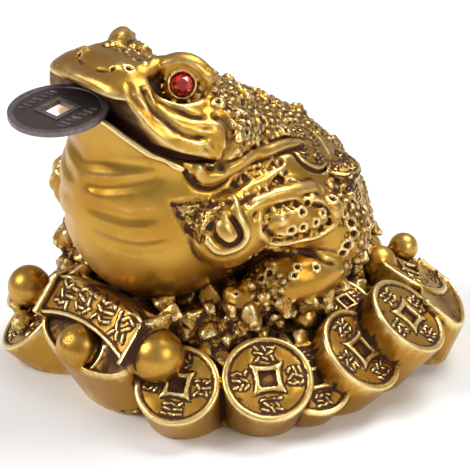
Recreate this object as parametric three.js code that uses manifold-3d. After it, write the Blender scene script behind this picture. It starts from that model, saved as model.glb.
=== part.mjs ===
// A money toad: a gilded resin figure of a toad that squats on a heap of coins and ingots,
// with a loose cash coin in its open mouth and a red glass stone glued into each eye.
// Millimetres, +Z up. The toad faces -Y, its left side is +X, and the origin is on the floor
// under the middle of the heap.
import * as THREE from "three";
import { mergeVertices } from "three/addons/utils/BufferGeometryUtils.js";
import Module from "manifold-3d";

const wasm = await Module();
wasm.setup();

// The figure's own size. Its free forms are drawn for a toad 76 units tall.
const FIGURE_HEIGHT = 76;
const UNIT = FIGURE_HEIGHT / 76;

// The loose coin in the mouth, and the slot that holds it.
const MOUTH_COIN_DIAMETER = 19.6;
const MOUTH_COIN_THICKNESS = 1;
const MOUTH_COIN_RIM_WIDTH = 1.2;
const MOUTH_COIN_RELIEF = 0.2;
const MOUTH_COIN_HOLE = 4.6;
const MOUTH_COIN_FRAME_WIDTH = 1;
const COIN_CLEARANCE = 0.35;

const MOUTH_DEPTH = 3; // how far the gap between the lips goes in

// The glass stones, their sockets and the raised seats round them.
const STONE_DIAMETER = 4.5;
const STONE_HEIGHT = 2;
const STONE_TABLE = 0.55; // share of the diameter
const STONE_CLEARANCE = 0.3;
const SEAT_WALL = 0.8;
const SEAT_DEPTH = 1; // how deep a stone sits in its seat

// The cast coins, pearls and ingots, which are carving and keep their share of the figure.
const HEAP_COIN_DIAMETER = 18.8 * UNIT;
const HEAP_COIN_RIM_WIDTH = 1.4 * UNIT;
const HEAP_COIN_RELIEF = 0.6 * UNIT;
const HEAP_COIN_HOLE = 4.6 * UNIT;
const HEAP_COIN_FRAME_WIDTH = UNIT;
const HEAP_COIN_REACH = 26 * UNIT; // how far a coin's edge runs back into the heap
const HEAP_PEARL_DIAMETER = 10 * UNIT;
const INGOT_LENGTH = 31 * UNIT;
const INGOT_WALL = 1.3 * UNIT;
const INGOT_REACH = 30 * UNIT;
const INGOT_DROP = 11.4 * UNIT; // of the hull over its reach
const INGOT_TAPER = 0.6; // share of its width that the hull loses over its reach
const BACK_COIN_DIAMETER = 10.6 * UNIT;
const BACK_COIN_RISE = 0.9 * UNIT;

// How finely the forms are faceted: an icosahedron's edge is cut into one part more than its detail.
const BODY_DETAIL = 8;
const LIMB_DETAIL = 3;
const PEARL_DETAIL = 2;
const TOE_DETAIL = 1;
const WART_DETAIL = 0;
const COIN_SIDES = 16;
const PLAIN_COIN_SIDES = 12;
const BACK_COIN_SIDES = 10;
const MOUND_SIDES = 16;
const STONE_SIDES = 8;
const SEAT_SIDES = 12;
const ROLL_SIDES = 4;
const CURVE_SEGMENTS = 4;

const { degToRad } = THREE.MathUtils;
const UP = new THREE.Vector3(0, 0, 1);

function point(x, y, z) {
  return new THREE.Vector3(x, y, z).multiplyScalar(UNIT);
}

// Free forms: ellipsoids and rolls that melt into each other. A mass is an ellipsoid: its centre,
// its radii, its pitch (which lifts the front end) and yaw (which swings the front end outwards)
// in degrees, and the width over which it melts into what came before.
function mass(centre, radii, pitch, yaw, blend) {
  const turn = new THREE.Matrix4().makeRotationZ(degToRad(yaw));
  turn.multiply(new THREE.Matrix4().makeRotationX(-degToRad(pitch)));
  return { centre: point(...centre), radii: point(...radii), unturn: turn.invert(), blend: blend * UNIT };
}

// A roll is a bead of flesh along a smooth line, with a radius at each point of the line.
function roll(line, radii, blend) {
  const curve = new THREE.CatmullRomCurve3(line.map((place) => point(...place)));
  const steps = 2 * (line.length - 1);
  const places = curve.getPoints(steps);
  const thickness = places.map((_, i) => {
    const at = (i / steps) * (radii.length - 1);
    const first = Math.min(Math.floor(at), radii.length - 2);
    return THREE.MathUtils.lerp(radii[first], radii[first + 1], at - first) * UNIT;
  });
  return { places, thickness, blend: blend * UNIT };
}

const BODY = [
  mass([0, 3, 38], [26, 33, 19.2], 38, 0, 6), // back
  mass([0, -20, 44.5], [21, 21, 24.5], 0, 0, 8), // throat
  mass([0, -21.5, 60], [21, 18, 11], 20, 0, 4), // skull
  mass([0, -30.3, 69.3], [12, 9, 6.3], 10, 0, 4), // snout
  mass([7.5, -34, 69.8], [6.5, 5.5, 4.6], 0, 0, 3), // corner of the snout
  mass([10.2, -22.5, 69.4], [4.4, 6.2, 6.1], 8, -33, 2), // brow
  mass([15.5, -18.5, 60], [7.5, 8.5, 6.5], 10, 0, 3), // cheek
];

const LIP_LINE = [
  [0, -39.4, 72.6],
  [6.5, -38.3, 72],
  [11.2, -36, 69],
  [14.8, -33, 65.2],
  [17.5, -29.8, 62.6],
  [19.5, -26.2, 60.8],
  [20.4, -23.2, 59.4],
];
const LIP_LINE_BELOW = [
  [0, -39.6, 65.6],
  [6.5, -38.5, 65.2],
  [11.2, -36.4, 62.4],
  [15, -33.5, 59.4],
  [17.6, -30.6, 57.5],
  [18.8, -29.1, 56.5],
  [19.6, -27.9, 55.4],
];
BODY.push(roll(LIP_LINE, [1.3, 1.6, 2.7, 2.9, 2.6, 2.3, 1.9], 2));
BODY.push(roll(LIP_LINE_BELOW, [0.9, 0.9, 0.9], 1.5));

const ARM = [
  mass([21.5, -20, 42], [6.5, 8, 8], 0, 0, 4), // shoulder
  mass([21.5, -4, 41], [8.5, 15.5, 8.5], 22, 0, 4), // upper arm
  mass([23.5, 7, 34], [7.5, 7.5, 8.5], 25, 0, 4), // elbow
];
const FOREARM = [
  mass([23.5, -2, 28.5], [8.5, 12, 6.5], -6, 0, 2), // forearm
  mass([21.5, -13, 24], [5, 7.5, 4], 12, 8, 3), // hand
];

// The toad's right arm is set further out and forward than its left one.
const SIDES = [
  { side: 1, arm: point(0, 0, 0), forearm: point(0, 0, 0) },
  { side: -1, arm: point(1.5, -2.5, -3), forearm: point(3.5, -9, 0) },
];

function massDistance(place, { centre, radii, unturn }) {
  const local = place.clone().sub(centre).applyMatrix4(unturn).divide(radii);
  const reach = local.length();
  const slope = local.divide(radii).length();
  return (reach * (reach - 1)) / Math.max(slope, 1e-9);
}

function rollDistance(place, { places, thickness }) {
  const stretch = new THREE.Line3();
  const nearest = new THREE.Vector3();
  let best = Infinity;
  for (let i = 1; i < places.length; i++) {
    stretch.set(places[i - 1], places[i]);
    const share = stretch.closestPointToPointParameter(place, true);
    stretch.at(share, nearest);
    const radius = THREE.MathUtils.lerp(thickness[i - 1], thickness[i], share);
    best = Math.min(best, nearest.distanceTo(place) - radius);
  }
  return best;
}

function melt(a, b, blend) {
  const overlap = Math.max(blend - Math.abs(a - b), 0) / blend;
  return Math.min(a, b) - (overlap * overlap * blend) / 4;
}

// The distance from a place to the skin of melted forms, mirrored over the middle plane.
function skinOf(forms) {
  return (place) => {
    const folded = new THREE.Vector3(Math.abs(place.x), place.y, place.z);
    return forms.reduce((distance, form) => {
      const own = form.places ? rollDistance(folded, form) : massDistance(folded, form);
      return melt(distance, own, form.blend);
    }, 1e3 * UNIT);
  };
}

const bodySkin = skinOf(BODY);
const armSkin = skinOf(ARM);
const forearmSkin = skinOf(FOREARM);

// A place named on the left side, taken to a side and set out by that side's shift.
function onSide(side, shift, coordinates) {
  const place = point(...coordinates).add(shift);
  place.x *= side;
  return place;
}

function shifted(skin, side, shift) {
  return (place) => skin(new THREE.Vector3(side * place.x, place.y, place.z).sub(shift));
}

function toadSkin(place) {
  const limbs = SIDES.flatMap(({ side, arm, forearm }) => {
    return [shifted(armSkin, side, arm)(place), shifted(forearmSkin, side, forearm)(place)];
  });
  return Math.min(bodySkin(place), ...limbs);
}

// Walks back from afar until it meets the skin, and gives the place where it does.
function meet(skin, from, way, reach) {
  const place = new THREE.Vector3();
  for (let walked = 0; walked < reach; ) {
    place.copy(from).addScaledVector(way, walked);
    const distance = skin(place);
    if (distance < 0.01 * UNIT) break;
    walked += Math.max(0.6 * distance, 0.02 * UNIT);
  }
  return place;
}

function outward(skin, place) {
  const step = 0.3 * UNIT;
  const slope = new THREE.Vector3();
  for (const axis of ["x", "y", "z"]) {
    const ahead = place.clone();
    const behind = place.clone();
    ahead[axis] += step;
    behind[axis] -= step;
    slope[axis] = skin(ahead) - skin(behind);
  }
  return slope.normalize();
}

// Moves a place onto the toad's skin, or to a height above it.
function settle(place, height = 0) {
  const settled = place.clone();
  for (let i = 0; i < 5; i++) {
    settled.addScaledVector(outward(toadSkin, settled), height - toadSkin(settled));
  }
  return settled;
}

// A ball whose points are moved in from afar until they lie on the skin.
function sculpt(detail, centre, skin) {
  const ball = new THREE.IcosahedronGeometry(1, detail);
  const position = ball.getAttribute("position");
  const afar = new THREE.Vector3();
  const inwards = new THREE.Vector3();
  for (let i = 0; i < position.count; i++) {
    inwards.fromBufferAttribute(position, i).normalize().negate();
    afar.copy(centre).addScaledVector(inwards, -FIGURE_HEIGHT);
    const place = meet(skin, afar, inwards, FIGURE_HEIGHT);
    position.setXYZ(i, place.x, place.y, place.z);
  }
  return solidOf(ball);
}

function solidOf(geometry, matrix = new THREE.Matrix4()) {
  const bare = new THREE.BufferGeometry();
  bare.setAttribute("position", geometry.getAttribute("position").clone());
  bare.setIndex(geometry.index);
  bare.applyMatrix4(matrix);
  const merged = mergeVertices(bare, 1e-4);
  const vertProperties = new Float32Array(merged.getAttribute("position").array);
  const triVerts = new Uint32Array(merged.index.array);
  return new wasm.Manifold(new wasm.Mesh({ numProp: 3, vertProperties, triVerts }));
}

function geometryOf(solid) {
  const { vertProperties, triVerts } = solid.getMesh();
  const geometry = new THREE.BufferGeometry();
  geometry.setAttribute("position", new THREE.BufferAttribute(new Float32Array(vertProperties), 3));
  geometry.setIndex(new THREE.BufferAttribute(new Uint32Array(triVerts), 1));
  const faceted = geometry.toNonIndexed();
  faceted.computeVertexNormals();
  return faceted;
}

function join(solids) {
  return solids.reduce((whole, solid) => whole.add(solid));
}

function ellipsoid(centre, radii, detail) {
  const matrix = new THREE.Matrix4().makeTranslation(point(...centre)).scale(point(...radii));
  return solidOf(new THREE.IcosahedronGeometry(1, detail), matrix);
}

// A direction that leans from upright by the tilt, towards the compass bearing (0 is +X).
function lean(bearing, tilt) {
  const [b, t] = [degToRad(bearing), degToRad(tilt)];
  return new THREE.Vector3(Math.cos(b) * Math.sin(t), Math.sin(b) * Math.sin(t), Math.cos(t));
}

// Puts a thing made around the origin, facing +Z, at a place and facing a way. Its own +X stays
// as level as can be.
function facing(place, way) {
  const level = new THREE.Vector3().crossVectors(UP, way);
  if (level.lengthSq() < 1e-6) level.set(1, 0, 0);
  level.normalize();
  const across = new THREE.Vector3().crossVectors(way, level);
  return new THREE.Matrix4().makeBasis(level, across, way).setPosition(place);
}

function squareShape(side) {
  const h = side / 2;
  return new THREE.Shape([
    new THREE.Vector2(-h, -h),
    new THREE.Vector2(h, -h),
    new THREE.Vector2(h, h),
    new THREE.Vector2(-h, h),
  ]);
}

function extruded(shape, from, to) {
  const settings = { depth: to - from, bevelEnabled: false, curveSegments: CURVE_SEGMENTS };
  return new THREE.ExtrudeGeometry(shape, settings).translate(0, 0, from);
}

// A turned solid: its outline runs from the axis out and back to the axis, bottom first.
function turned(outline, sides) {
  const profile = outline.map(([radius, height]) => new THREE.Vector2(radius, height));
  return new THREE.LatheGeometry(profile, sides).rotateX(Math.PI / 2);
}

// A bead of flesh along a line of the hide. It stands out of the skin by its rise, and its ends dip in.
function hideRoll(line, radius, rise) {
  const last = line.length - 1;
  const places = line.map((place, i) => {
    const dip = i === 0 || i === last ? radius : 0;
    return settle(place, (rise - radius - dip) * UNIT);
  });
  const corners = Array.from({ length: ROLL_SIDES }, (_, i) => {
    const angle = (i / ROLL_SIDES) * 2 * Math.PI;
    return new THREE.Vector2(Math.cos(angle), Math.sin(angle)).multiplyScalar(radius * UNIT);
  });
  const extrudePath = new THREE.CatmullRomCurve3(places);
  const steps = Math.round(1.5 * last);
  return solidOf(new THREE.ExtrudeGeometry(new THREE.Shape(corners), { steps, extrudePath }));
}

// A stubby rounded form that reaches from one place to another.
function bean(from, to, radius, detail) {
  const middle = new THREE.Vector3().lerpVectors(from, to, 0.5);
  const way = new THREE.Vector3().subVectors(to, from);
  const half = way.length() / 2;
  const matrix = facing(middle, way.normalize()).scale(new THREE.Vector3(radius, radius, half + radius));
  return solidOf(new THREE.IcosahedronGeometry(1, detail), matrix);
}

// The loose cash coin, lying flat around the origin: a raised rim and a raised frame round its
// square hole, on both faces.
function cashCoin() {
  const radius = MOUTH_COIN_DIAMETER / 2;
  const top = MOUTH_COIN_THICKNESS / 2;
  const field = top - MOUTH_COIN_RELIEF;
  const inner = radius - MOUTH_COIN_RIM_WIDTH;
  const upperHalf = [[radius, top], [inner, top], [inner, field], [0, field]];
  const lowerHalf = upperHalf.map(([across, height]) => [across, -height]).reverse();
  const disc = turned([...lowerHalf, ...upperHalf], 2 * COIN_SIDES);
  const frame = extruded(squareShape(MOUTH_COIN_HOLE + 2 * MOUTH_COIN_FRAME_WIDTH), -top, top);
  const hole = extruded(squareShape(MOUTH_COIN_HOLE), -2 * top, 2 * top);
  return solidOf(disc).add(solidOf(frame)).subtract(solidOf(hole));
}

// The glass stone, flat back at the origin and facing +Z.
function stone() {
  const girdle = STONE_DIAMETER / 2;
  const table = girdle * STONE_TABLE;
  const outline = [
    [0, 0],
    [0.8 * girdle, 0],
    [girdle, 0.25 * STONE_HEIGHT],
    [0.88 * girdle, 0.6 * STONE_HEIGHT],
    [table, STONE_HEIGHT],
    [0, STONE_HEIGHT],
  ];
  return turned(outline, STONE_SIDES);
}

// One coin of the heap, with its edge run back into the heap: a raised rim, a sunk field and a
// framed square hole. A plain one has a flat face.
function heapCoin({ at, bearing, tilt, size = 1, plain = false }) {
  const radius = (size * HEAP_COIN_DIAMETER) / 2;
  const inner = radius - HEAP_COIN_RIM_WIDTH;
  const field = -HEAP_COIN_RELIEF;
  const back = -HEAP_COIN_REACH;
  const face = plain ? [[0, 0]] : [[inner, 0], [inner, field], [0, field]];
  const sides = plain ? PLAIN_COIN_SIDES : COIN_SIDES;
  const drum = turned([[0, back], [0.9 * radius, back], [radius, 0], ...face], sides);
  const hole = HEAP_COIN_HOLE * size;
  const pit = extruded(squareShape(hole), -2.5 * HEAP_COIN_RELIEF, HEAP_COIN_RELIEF);
  const place = facing(point(...at), lean(bearing, tilt));
  if (plain) return solidOf(drum, place).subtract(solidOf(pit, place));
  const frame = extruded(squareShape(hole + 2 * HEAP_COIN_FRAME_WIDTH), -2 * HEAP_COIN_RELIEF, 0);
  return solidOf(drum, place).add(solidOf(frame, place)).subtract(solidOf(pit, place));
}

const HEAP_COINS = [
  { at: [22.3, -34, 12], bearing: -53, tilt: 38, size: 0.94 },
  { at: [33.5, -19.4, 13], bearing: -30, tilt: 38 },
  { at: [36.2, -9, 10.5], bearing: -12, tilt: 40, size: 0.88 },
  { at: [37.5, 3, 13.6], bearing: 20, tilt: 40, size: 1.05 },
  { at: [37.5, 16.5, 17], bearing: 28, tilt: 37, size: 1.02 },
  { at: [27, 8, 19], bearing: 10, tilt: 28, size: 0.7, plain: true },
  { at: [22, 32.3, 17.3], bearing: 62, tilt: 28, plain: true },
  { at: [-20, 36.5, 13], bearing: 120, tilt: 40, plain: true },
  { at: [-32.5, 26, 12], bearing: 142, tilt: 40, plain: true },
  { at: [-37.5, 10.5, 14], bearing: 165, tilt: 39, plain: true },
  { at: [-37.5, -6, 12], bearing: 188, tilt: 40, plain: true },
  { at: [-34, -22, 13], bearing: 212, tilt: 39, plain: true },
  { at: [-24, -38, 10.8], bearing: -122, tilt: 44, plain: true },
];

const PEARLS = [
  { at: [16.8, -34.6, 16.4], size: 1.12 },
  { at: [-26, -36.6, 16.4], size: 0.94 },
  { at: [25, 1, 19.5], size: 0.5 },
  { at: [26, -3, 18], size: 0.55 },
  { at: [18, 26, 18.7], size: 0.84 },
  { at: [16.3, 35.5, 19.2], size: 0.66 },
  { at: [-24, 24, 19], size: 0.8 },
];

// Rough nuggets: where each lies and how long it is, its own long way turned about upright.
const NUGGETS = [
  { at: [-15, -25.5, 23], length: 5.5, turn: 20 },
  { at: [-8, -25.5, 23], length: 5, turn: 75 },
  { at: [-1, -26, 22.5], length: 5.5, turn: 130 },
  { at: [5, -22, 20], length: 5.5, turn: 50 },
  { at: [15.5, -22, 17.5], length: 5, turn: 100 },
  { at: [21, -18, 16], length: 6, turn: 30 },
  { at: [-22.5, -40.6, 11], length: 5, turn: 60 },
  { at: [-29, -38.5, 13.5], length: 5, turn: 140 },
  { at: [13, 27, 26], length: 6, turn: 10 },
  { at: [-13, 28, 25], length: 6, turn: 165 },
];

// An ingot in the heap: a boat that leans back, with a dome in its bowl and a curved band across.
// Drawn around the dome, with +X along the ingot, +Y up its leaning face and +Z out of the face.
const DECK = 12 * UNIT;
const WATERLINE = 0.2 * UNIT;
const KEEL = 6.7 * UNIT;
const BOWL_DEPTH = 2 * UNIT;
const DOME_RADIUS = 5 * UNIT;
const DOME_AT = point(-1, -2, -0.6);
const BAND_BOTTOM = -0.8 * UNIT; // at the ends of the band
const BAND_TOP = 8.5 * UNIT;
const BAND_BOW = 6.7 * UNIT; // height of the points that its edges bend towards
const BAND_RISE = 2.2 * UNIT;
const BAND_ROOT = -4 * UNIT;
const WALL_RISE = 3.1 * UNIT;

function boatShape(half, keel, deck) {
  const shape = new THREE.Shape();
  shape.moveTo(half, deck);
  shape.lineTo(-half, deck);
  shape.lineTo(-half, WATERLINE);
  shape.absellipse(0, WATERLINE, half, keel, Math.PI, 2 * Math.PI, false, 0);
  return shape;
}

// The hull runs back into the heap, getting narrower and dropping as it goes.
function hull(half) {
  const geometry = extruded(boatShape(half, KEEL, DECK), -INGOT_REACH, 0);
  const position = geometry.getAttribute("position");
  for (let i = 0; i < position.count; i++) {
    const share = -position.getZ(i) / INGOT_REACH;
    position.setX(i, position.getX(i) * (1 - INGOT_TAPER * share));
    position.setY(i, position.getY(i) - INGOT_DROP * share);
  }
  return geometry;
}

// The band across the upper half of the ingot, and the end walls that it runs between.
function ingotBand(half) {
  const band = new THREE.Shape();
  band.moveTo(-half, BAND_BOTTOM);
  band.quadraticCurveTo(0, BAND_BOTTOM + BAND_BOW, half, BAND_BOTTOM);
  band.lineTo(half, BAND_TOP);
  band.quadraticCurveTo(0, BAND_TOP + BAND_BOW, -half, BAND_TOP);
  const side = new THREE.Shape();
  side.moveTo(BAND_ROOT, BAND_BOTTOM);
  side.lineTo(WALL_RISE, BAND_BOTTOM);
  side.lineTo(WALL_RISE, DECK + INGOT_WALL);
  side.lineTo(BAND_ROOT, DECK + INGOT_WALL);
  const stand = new THREE.Matrix4().makeBasis(
    new THREE.Vector3(0, 0, 1),
    new THREE.Vector3(0, 1, 0),
    new THREE.Vector3(-1, 0, 0),
  );
  const walls = [INGOT_WALL - half, half].map((x) => {
    return extruded(side, 0, INGOT_WALL).applyMatrix4(stand).translate(x, 0, 0);
  });
  return [extruded(band, BAND_ROOT, BAND_RISE), ...walls];
}

// A plain one has no band across it, and an empty one no dome either.
function ingot({ at, bearing, tilt, size = 1, plain = false, empty = false }) {
  const half = INGOT_LENGTH / 2;
  const place = facing(point(...at), lean(bearing, tilt)).scale(new THREE.Vector3(size, size, size));
  const inside = boatShape(half - INGOT_WALL, KEEL - INGOT_WALL, 2 * DECK);
  const bowl = extruded(inside, -BOWL_DEPTH, BOWL_DEPTH);
  const dome = new THREE.IcosahedronGeometry(DOME_RADIUS, PEARL_DETAIL).translate(...DOME_AT);
  const raised = [...(empty ? [] : [dome]), ...(plain ? [] : ingotBand(half))];
  return join([
    solidOf(hull(half), place).subtract(solidOf(bowl, place)),
    ...raised.map((geometry) => solidOf(geometry, place)),
  ]);
}

const INGOTS = [
  { at: [1, -41, 16], bearing: -90, tilt: 50 },
  { at: [0, 37, 14], bearing: 90, tilt: 45, size: 0.92, plain: true },
  { at: [32.3, 34.5, 12.8], bearing: 48, tilt: 40, size: 0.7, plain: true, empty: true },
];

// The ground of the heap, on which everything else lies, and the banks of it under the hands.
const MOUND = [[0, 0], [36, 0], [37, 7], [33, 13.5], [27, 17], [18, 19.5], [0, 20]];
const BANKS = [
  { at: [15, -20, 16], radii: [8, 7, 7.5] },
  { at: [-17, -26, 16], radii: [7, 6, 7] },
];

function heap() {
  const mound = turned(MOUND.map(([radius, height]) => [radius * UNIT, height * UNIT]), MOUND_SIDES);
  const pearls = PEARLS.map(({ at, size }) => {
    const radius = (size * HEAP_PEARL_DIAMETER) / 2;
    const place = new THREE.Matrix4().makeTranslation(point(...at));
    return solidOf(new THREE.IcosahedronGeometry(radius, size > 0.8 ? PEARL_DETAIL : TOE_DETAIL), place);
  });
  const nuggets = NUGGETS.map(({ at, length, turn }) => {
    const way = lean(turn, 75).multiplyScalar(0.2 * length * UNIT);
    return bean(point(...at).sub(way), point(...at).add(way), 0.4 * length * UNIT, WART_DETAIL);
  });
  const banks = BANKS.map(({ at, radii }) => ellipsoid(at, radii, TOE_DETAIL));
  const coins = HEAP_COINS.map(heapCoin);
  const ingots = INGOTS.map(ingot);
  return join([solidOf(mound), ...banks, ...coins, ...ingots, ...pearls, ...nuggets]);
}

// Lines that stand out of the hide of the left half: over the eye, under the eye, down the cheek
// and from the jaw over the shoulder.
const BODY_ROLLS = [
  {
    line: [[8.6, -29.6, 72.6], [7.6, -26.4, 73.6], [9, -22.4, 75.2], [12.4, -19, 74], [14.2, -18, 67.5]],
    radius: 1.4,
    rise: 0.5,
  },
  {
    line: [[13.2, -30, 69.8], [15.2, -27.6, 68.2], [16.2, -24, 67.6], [16, -21, 68]],
    radius: 0.9,
    rise: 0.5,
  },
  {
    line: [[13, -32, 69.8], [16, -30.4, 67.2], [19, -26.6, 65], [21, -22.6, 64.4]],
    radius: 1.3,
    rise: 0.5,
  },
  {
    line: [[20.6, -26.6, 55], [20.4, -21.5, 53], [21.3, -16, 54.5], [19.8, -8, 55.3], [18.9, 4, 52.8]],
    radius: 2,
    rise: 1.5,
  },
];

// A band along the upper arm and a hook on the shoulder.
const ARM_ROLLS = [
  {
    line: [[26, -18, 47.6], [25.8, -11.7, 49.2], [27.3, -5.6, 48], [25, 2.7, 46.9]],
    radius: 1.7,
    rise: 0.8,
  },
  {
    line: [[23.7, -25.8, 46.9], [24.4, -26.9, 43.6], [27, -24, 40.5], [28, -20, 42.4], [26, -21.4, 47.6]],
    radius: 1,
    rise: 0.6,
  },
];

// Warts of the left half: a place and how far each stands out.
const BODY_WARTS = [
  [[6, -33.6, 73.8], 1],
  [[10.2, -6.7, 63.5], 2],
  [[17.1, -18.7, 67.2], 1.1],
  [[16.4, -8.8, 60.7], 1.4],
  [[5, 2, 60.5], 1.4],
  [[6, 13, 55.5], 1.4],
  [[7, 25, 46], 1.4],
];
const ARM_WARTS = [
  [[28.8, -11.2, 44.1], 1],
  [[28.5, 4.3, 41.7], 1.6],
];

// Coins laid like scales over the left flank.
const BACK_COINS = [[18.6, 4.2, 53], [19, 11.5, 48], [20.5, 14.5, 43]];

const TOES = [
  [[11, -17.4, 24], [10.6, -23.6, 18.5], 2.2],
  [[16.7, -17, 22.5], [14.6, -22.6, 17], 2.2],
  [[21.7, -15.5, 21], [21.4, -20.1, 15.5], 2.2],
];

function wart([coordinates, rise], side, shift) {
  const radius = 1.5 * rise * UNIT;
  const place = settle(onSide(side, shift, coordinates), rise * UNIT - radius);
  return solidOf(new THREE.IcosahedronGeometry(radius, WART_DETAIL).translate(...place));
}

function backCoin(coordinates, side) {
  const radius = BACK_COIN_DIAMETER / 2;
  const top = BACK_COIN_RISE;
  const root = -2 * BACK_COIN_RISE;
  const disc = turned([[0, root], [radius, root], [radius, top], [0, top]], BACK_COIN_SIDES);
  const place = settle(onSide(side, new THREE.Vector3(), coordinates));
  return solidOf(disc, facing(place, outward(toadSkin, place)));
}

// The eye: an almond-shaped hollow under the brow, a seat standing in it and a socket in the seat.
const EYE = [14.2, -24.8, 71.6];
const EYE_WAY = new THREE.Vector3(0.75, -0.5, 0.42).normalize();
const EYE_ROLL = -11;
const EYE_DEPTH = 2.3; // of the back of the stone below the skin
const EYE_HOLLOW = [6.2, 4, 3];
const EYE_HOLLOW_DEPTH = 0.6; // below the back of the stone

function eyePlace(side) {
  const way = new THREE.Vector3(side * EYE_WAY.x, EYE_WAY.y, EYE_WAY.z);
  return facing(settle(onSide(side, new THREE.Vector3(), EYE), -EYE_DEPTH * UNIT), way);
}

function eyeHollow(side) {
  const [length, height, depth] = EYE_HOLLOW;
  const lift = (depth - EYE_HOLLOW_DEPTH) * UNIT;
  const matrix = eyePlace(side);
  matrix.multiply(new THREE.Matrix4().makeTranslation(0, 0, lift));
  matrix.multiply(new THREE.Matrix4().makeRotationZ(side * degToRad(EYE_ROLL)));
  matrix.scale(point(length, height, depth));
  return solidOf(new THREE.IcosahedronGeometry(1, TOE_DETAIL), matrix);
}

const SOCKET_RADIUS = STONE_DIAMETER / 2 + STONE_CLEARANCE;
const SEAT_TOP = SEAT_DEPTH - STONE_CLEARANCE; // over the back of the stone

function eyeSeat(side) {
  const outer = SOCKET_RADIUS + SEAT_WALL;
  const root = -3 * SEAT_DEPTH;
  const outline = [[0, root], [1.3 * outer, root], [outer, SEAT_TOP], [0, SEAT_TOP]];
  return solidOf(turned(outline, SEAT_SIDES), eyePlace(side));
}

function eyeSocket(side) {
  const floor = -STONE_CLEARANCE;
  const above = 2 * STONE_HEIGHT;
  const outline = [[0, floor], [SOCKET_RADIUS, floor], [SOCKET_RADIUS, above], [0, above]];
  return solidOf(turned(outline, SEAT_SIDES), eyePlace(side));
}

function placedStone(side) {
  return geometryOf(solidOf(stone(), eyePlace(side)));
}

// The gap between the lips: a wedge seen from the side, cut in as far as the mouth is deep, and the
// slot in which the coin lies.
const MOUTH_GAP = [
  [-22.5, 57.3],
  [-26.4, 59],
  [-30, 60.2],
  [-33.4, 61.9],
  [-36, 66],
  [-37.6, 70.8],
  [-60, 72.4],
  [-60, 66.4],
  [-39, 66.4],
  [-36.4, 63.2],
  [-33.5, 60.2],
  [-30.3, 58.5],
  [-26.8, 57.4],
  [-22.5, 56.7],
];

const MOUTH_COIN_AT = [0, -44.8, 67.1];
const MOUTH_COIN_WAY = new THREE.Vector3(0.076, -0.121, 0.99).normalize();
const MOUTH_COIN_TURN = -25; // of its hole, in degrees

function mouthCoinPlace() {
  const turn = new THREE.Matrix4().makeRotationZ(degToRad(MOUTH_COIN_TURN));
  return facing(point(...MOUTH_COIN_AT), MOUTH_COIN_WAY).multiply(turn);
}

function mouth() {
  const outline = new THREE.Shape(MOUTH_GAP.map((at) => new THREE.Vector2(...at).multiplyScalar(UNIT)));
  const wedge = extruded(outline, -FIGURE_HEIGHT / 2, FIGURE_HEIGHT / 2);
  const sideways = new THREE.Matrix4().makeBasis(
    new THREE.Vector3(0, 1, 0),
    new THREE.Vector3(0, 0, 1),
    new THREE.Vector3(1, 0, 0),
  );
  const core = sculpt(LIMB_DETAIL, BODY_MIDDLE, (place) => bodySkin(place) + MOUTH_DEPTH);
  const radius = MOUTH_COIN_DIAMETER / 2 + COIN_CLEARANCE;
  const top = MOUTH_COIN_THICKNESS / 2 + COIN_CLEARANCE;
  const slot = turned([[0, -top], [radius, -top], [radius, top], [0, top]], 2 * COIN_SIDES);
  return solidOf(wedge, sideways).subtract(core).add(solidOf(slot, mouthCoinPlace()));
}

const BODY_MIDDLE = point(0, -21, 56);

function toad() {
  const forms = [sculpt(BODY_DETAIL, BODY_MIDDLE, bodySkin)];
  const still = new THREE.Vector3();
  for (const { side, arm, forearm } of SIDES) {
    const armMiddle = onSide(side, arm, [21.5, -6, 40]);
    const forearmMiddle = onSide(side, forearm, [23, -5, 27.5]);
    forms.push(sculpt(LIMB_DETAIL, armMiddle, shifted(armSkin, side, arm)));
    forms.push(sculpt(LIMB_DETAIL, forearmMiddle, shifted(forearmSkin, side, forearm)));
    for (const [rolls, shift] of [[BODY_ROLLS, still], [ARM_ROLLS, arm]]) {
      for (const { line, radius, rise } of rolls) {
        forms.push(hideRoll(line.map((coordinates) => onSide(side, shift, coordinates)), radius, rise));
      }
    }
    forms.push(...BODY_WARTS.map((each) => wart(each, side, still)));
    forms.push(...ARM_WARTS.map((each) => wart(each, side, arm)));
    forms.push(...BACK_COINS.map((coordinates) => backCoin(coordinates, side)));
    for (const [knuckle, tip, radius] of TOES) {
      const ends = [knuckle, tip].map((coordinates) => onSide(side, forearm, coordinates));
      forms.push(bean(...ends, radius * UNIT, TOE_DETAIL));
    }
  }
  const hollows = [mouth(), eyeHollow(1), eyeHollow(-1)];
  const carved = hollows.reduce((whole, hollow) => whole.subtract(hollow), join(forms));
  return carved.add(eyeSeat(1)).add(eyeSeat(-1)).subtract(eyeSocket(1)).subtract(eyeSocket(-1));
}

const gold = new THREE.MeshStandardMaterial({ color: 0xc79a3a, roughness: 0.38, metalness: 0.85 });
const gunmetal = new THREE.MeshStandardMaterial({ color: 0x4b4346, roughness: 0.45, metalness: 0.9 });
const ruby = new THREE.MeshStandardMaterial({ color: 0xa01018, roughness: 0.08, metalness: 0 });

function named(name, geometry, material) {
  const mesh = new THREE.Mesh(geometry, material);
  mesh.name = name;
  return mesh;
}

const floorWidth = 4 * FIGURE_HEIGHT;
const belowFloor = new THREE.BoxGeometry(floorWidth, floorWidth, FIGURE_HEIGHT);
const floorCut = solidOf(belowFloor.translate(0, 0, -FIGURE_HEIGHT / 2));
const casting = toad().add(heap()).subtract(floorCut);

const figure = new THREE.Group();
figure.add(named("toad_and_treasure", geometryOf(casting), gold));
figure.add(named("mouth_coin", geometryOf(cashCoin()).applyMatrix4(mouthCoinPlace()), gunmetal));
figure.add(named("left_eye_stone", placedStone(1), ruby));
figure.add(named("right_eye_stone", placedStone(-1), ruby));

export default figure;
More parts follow.
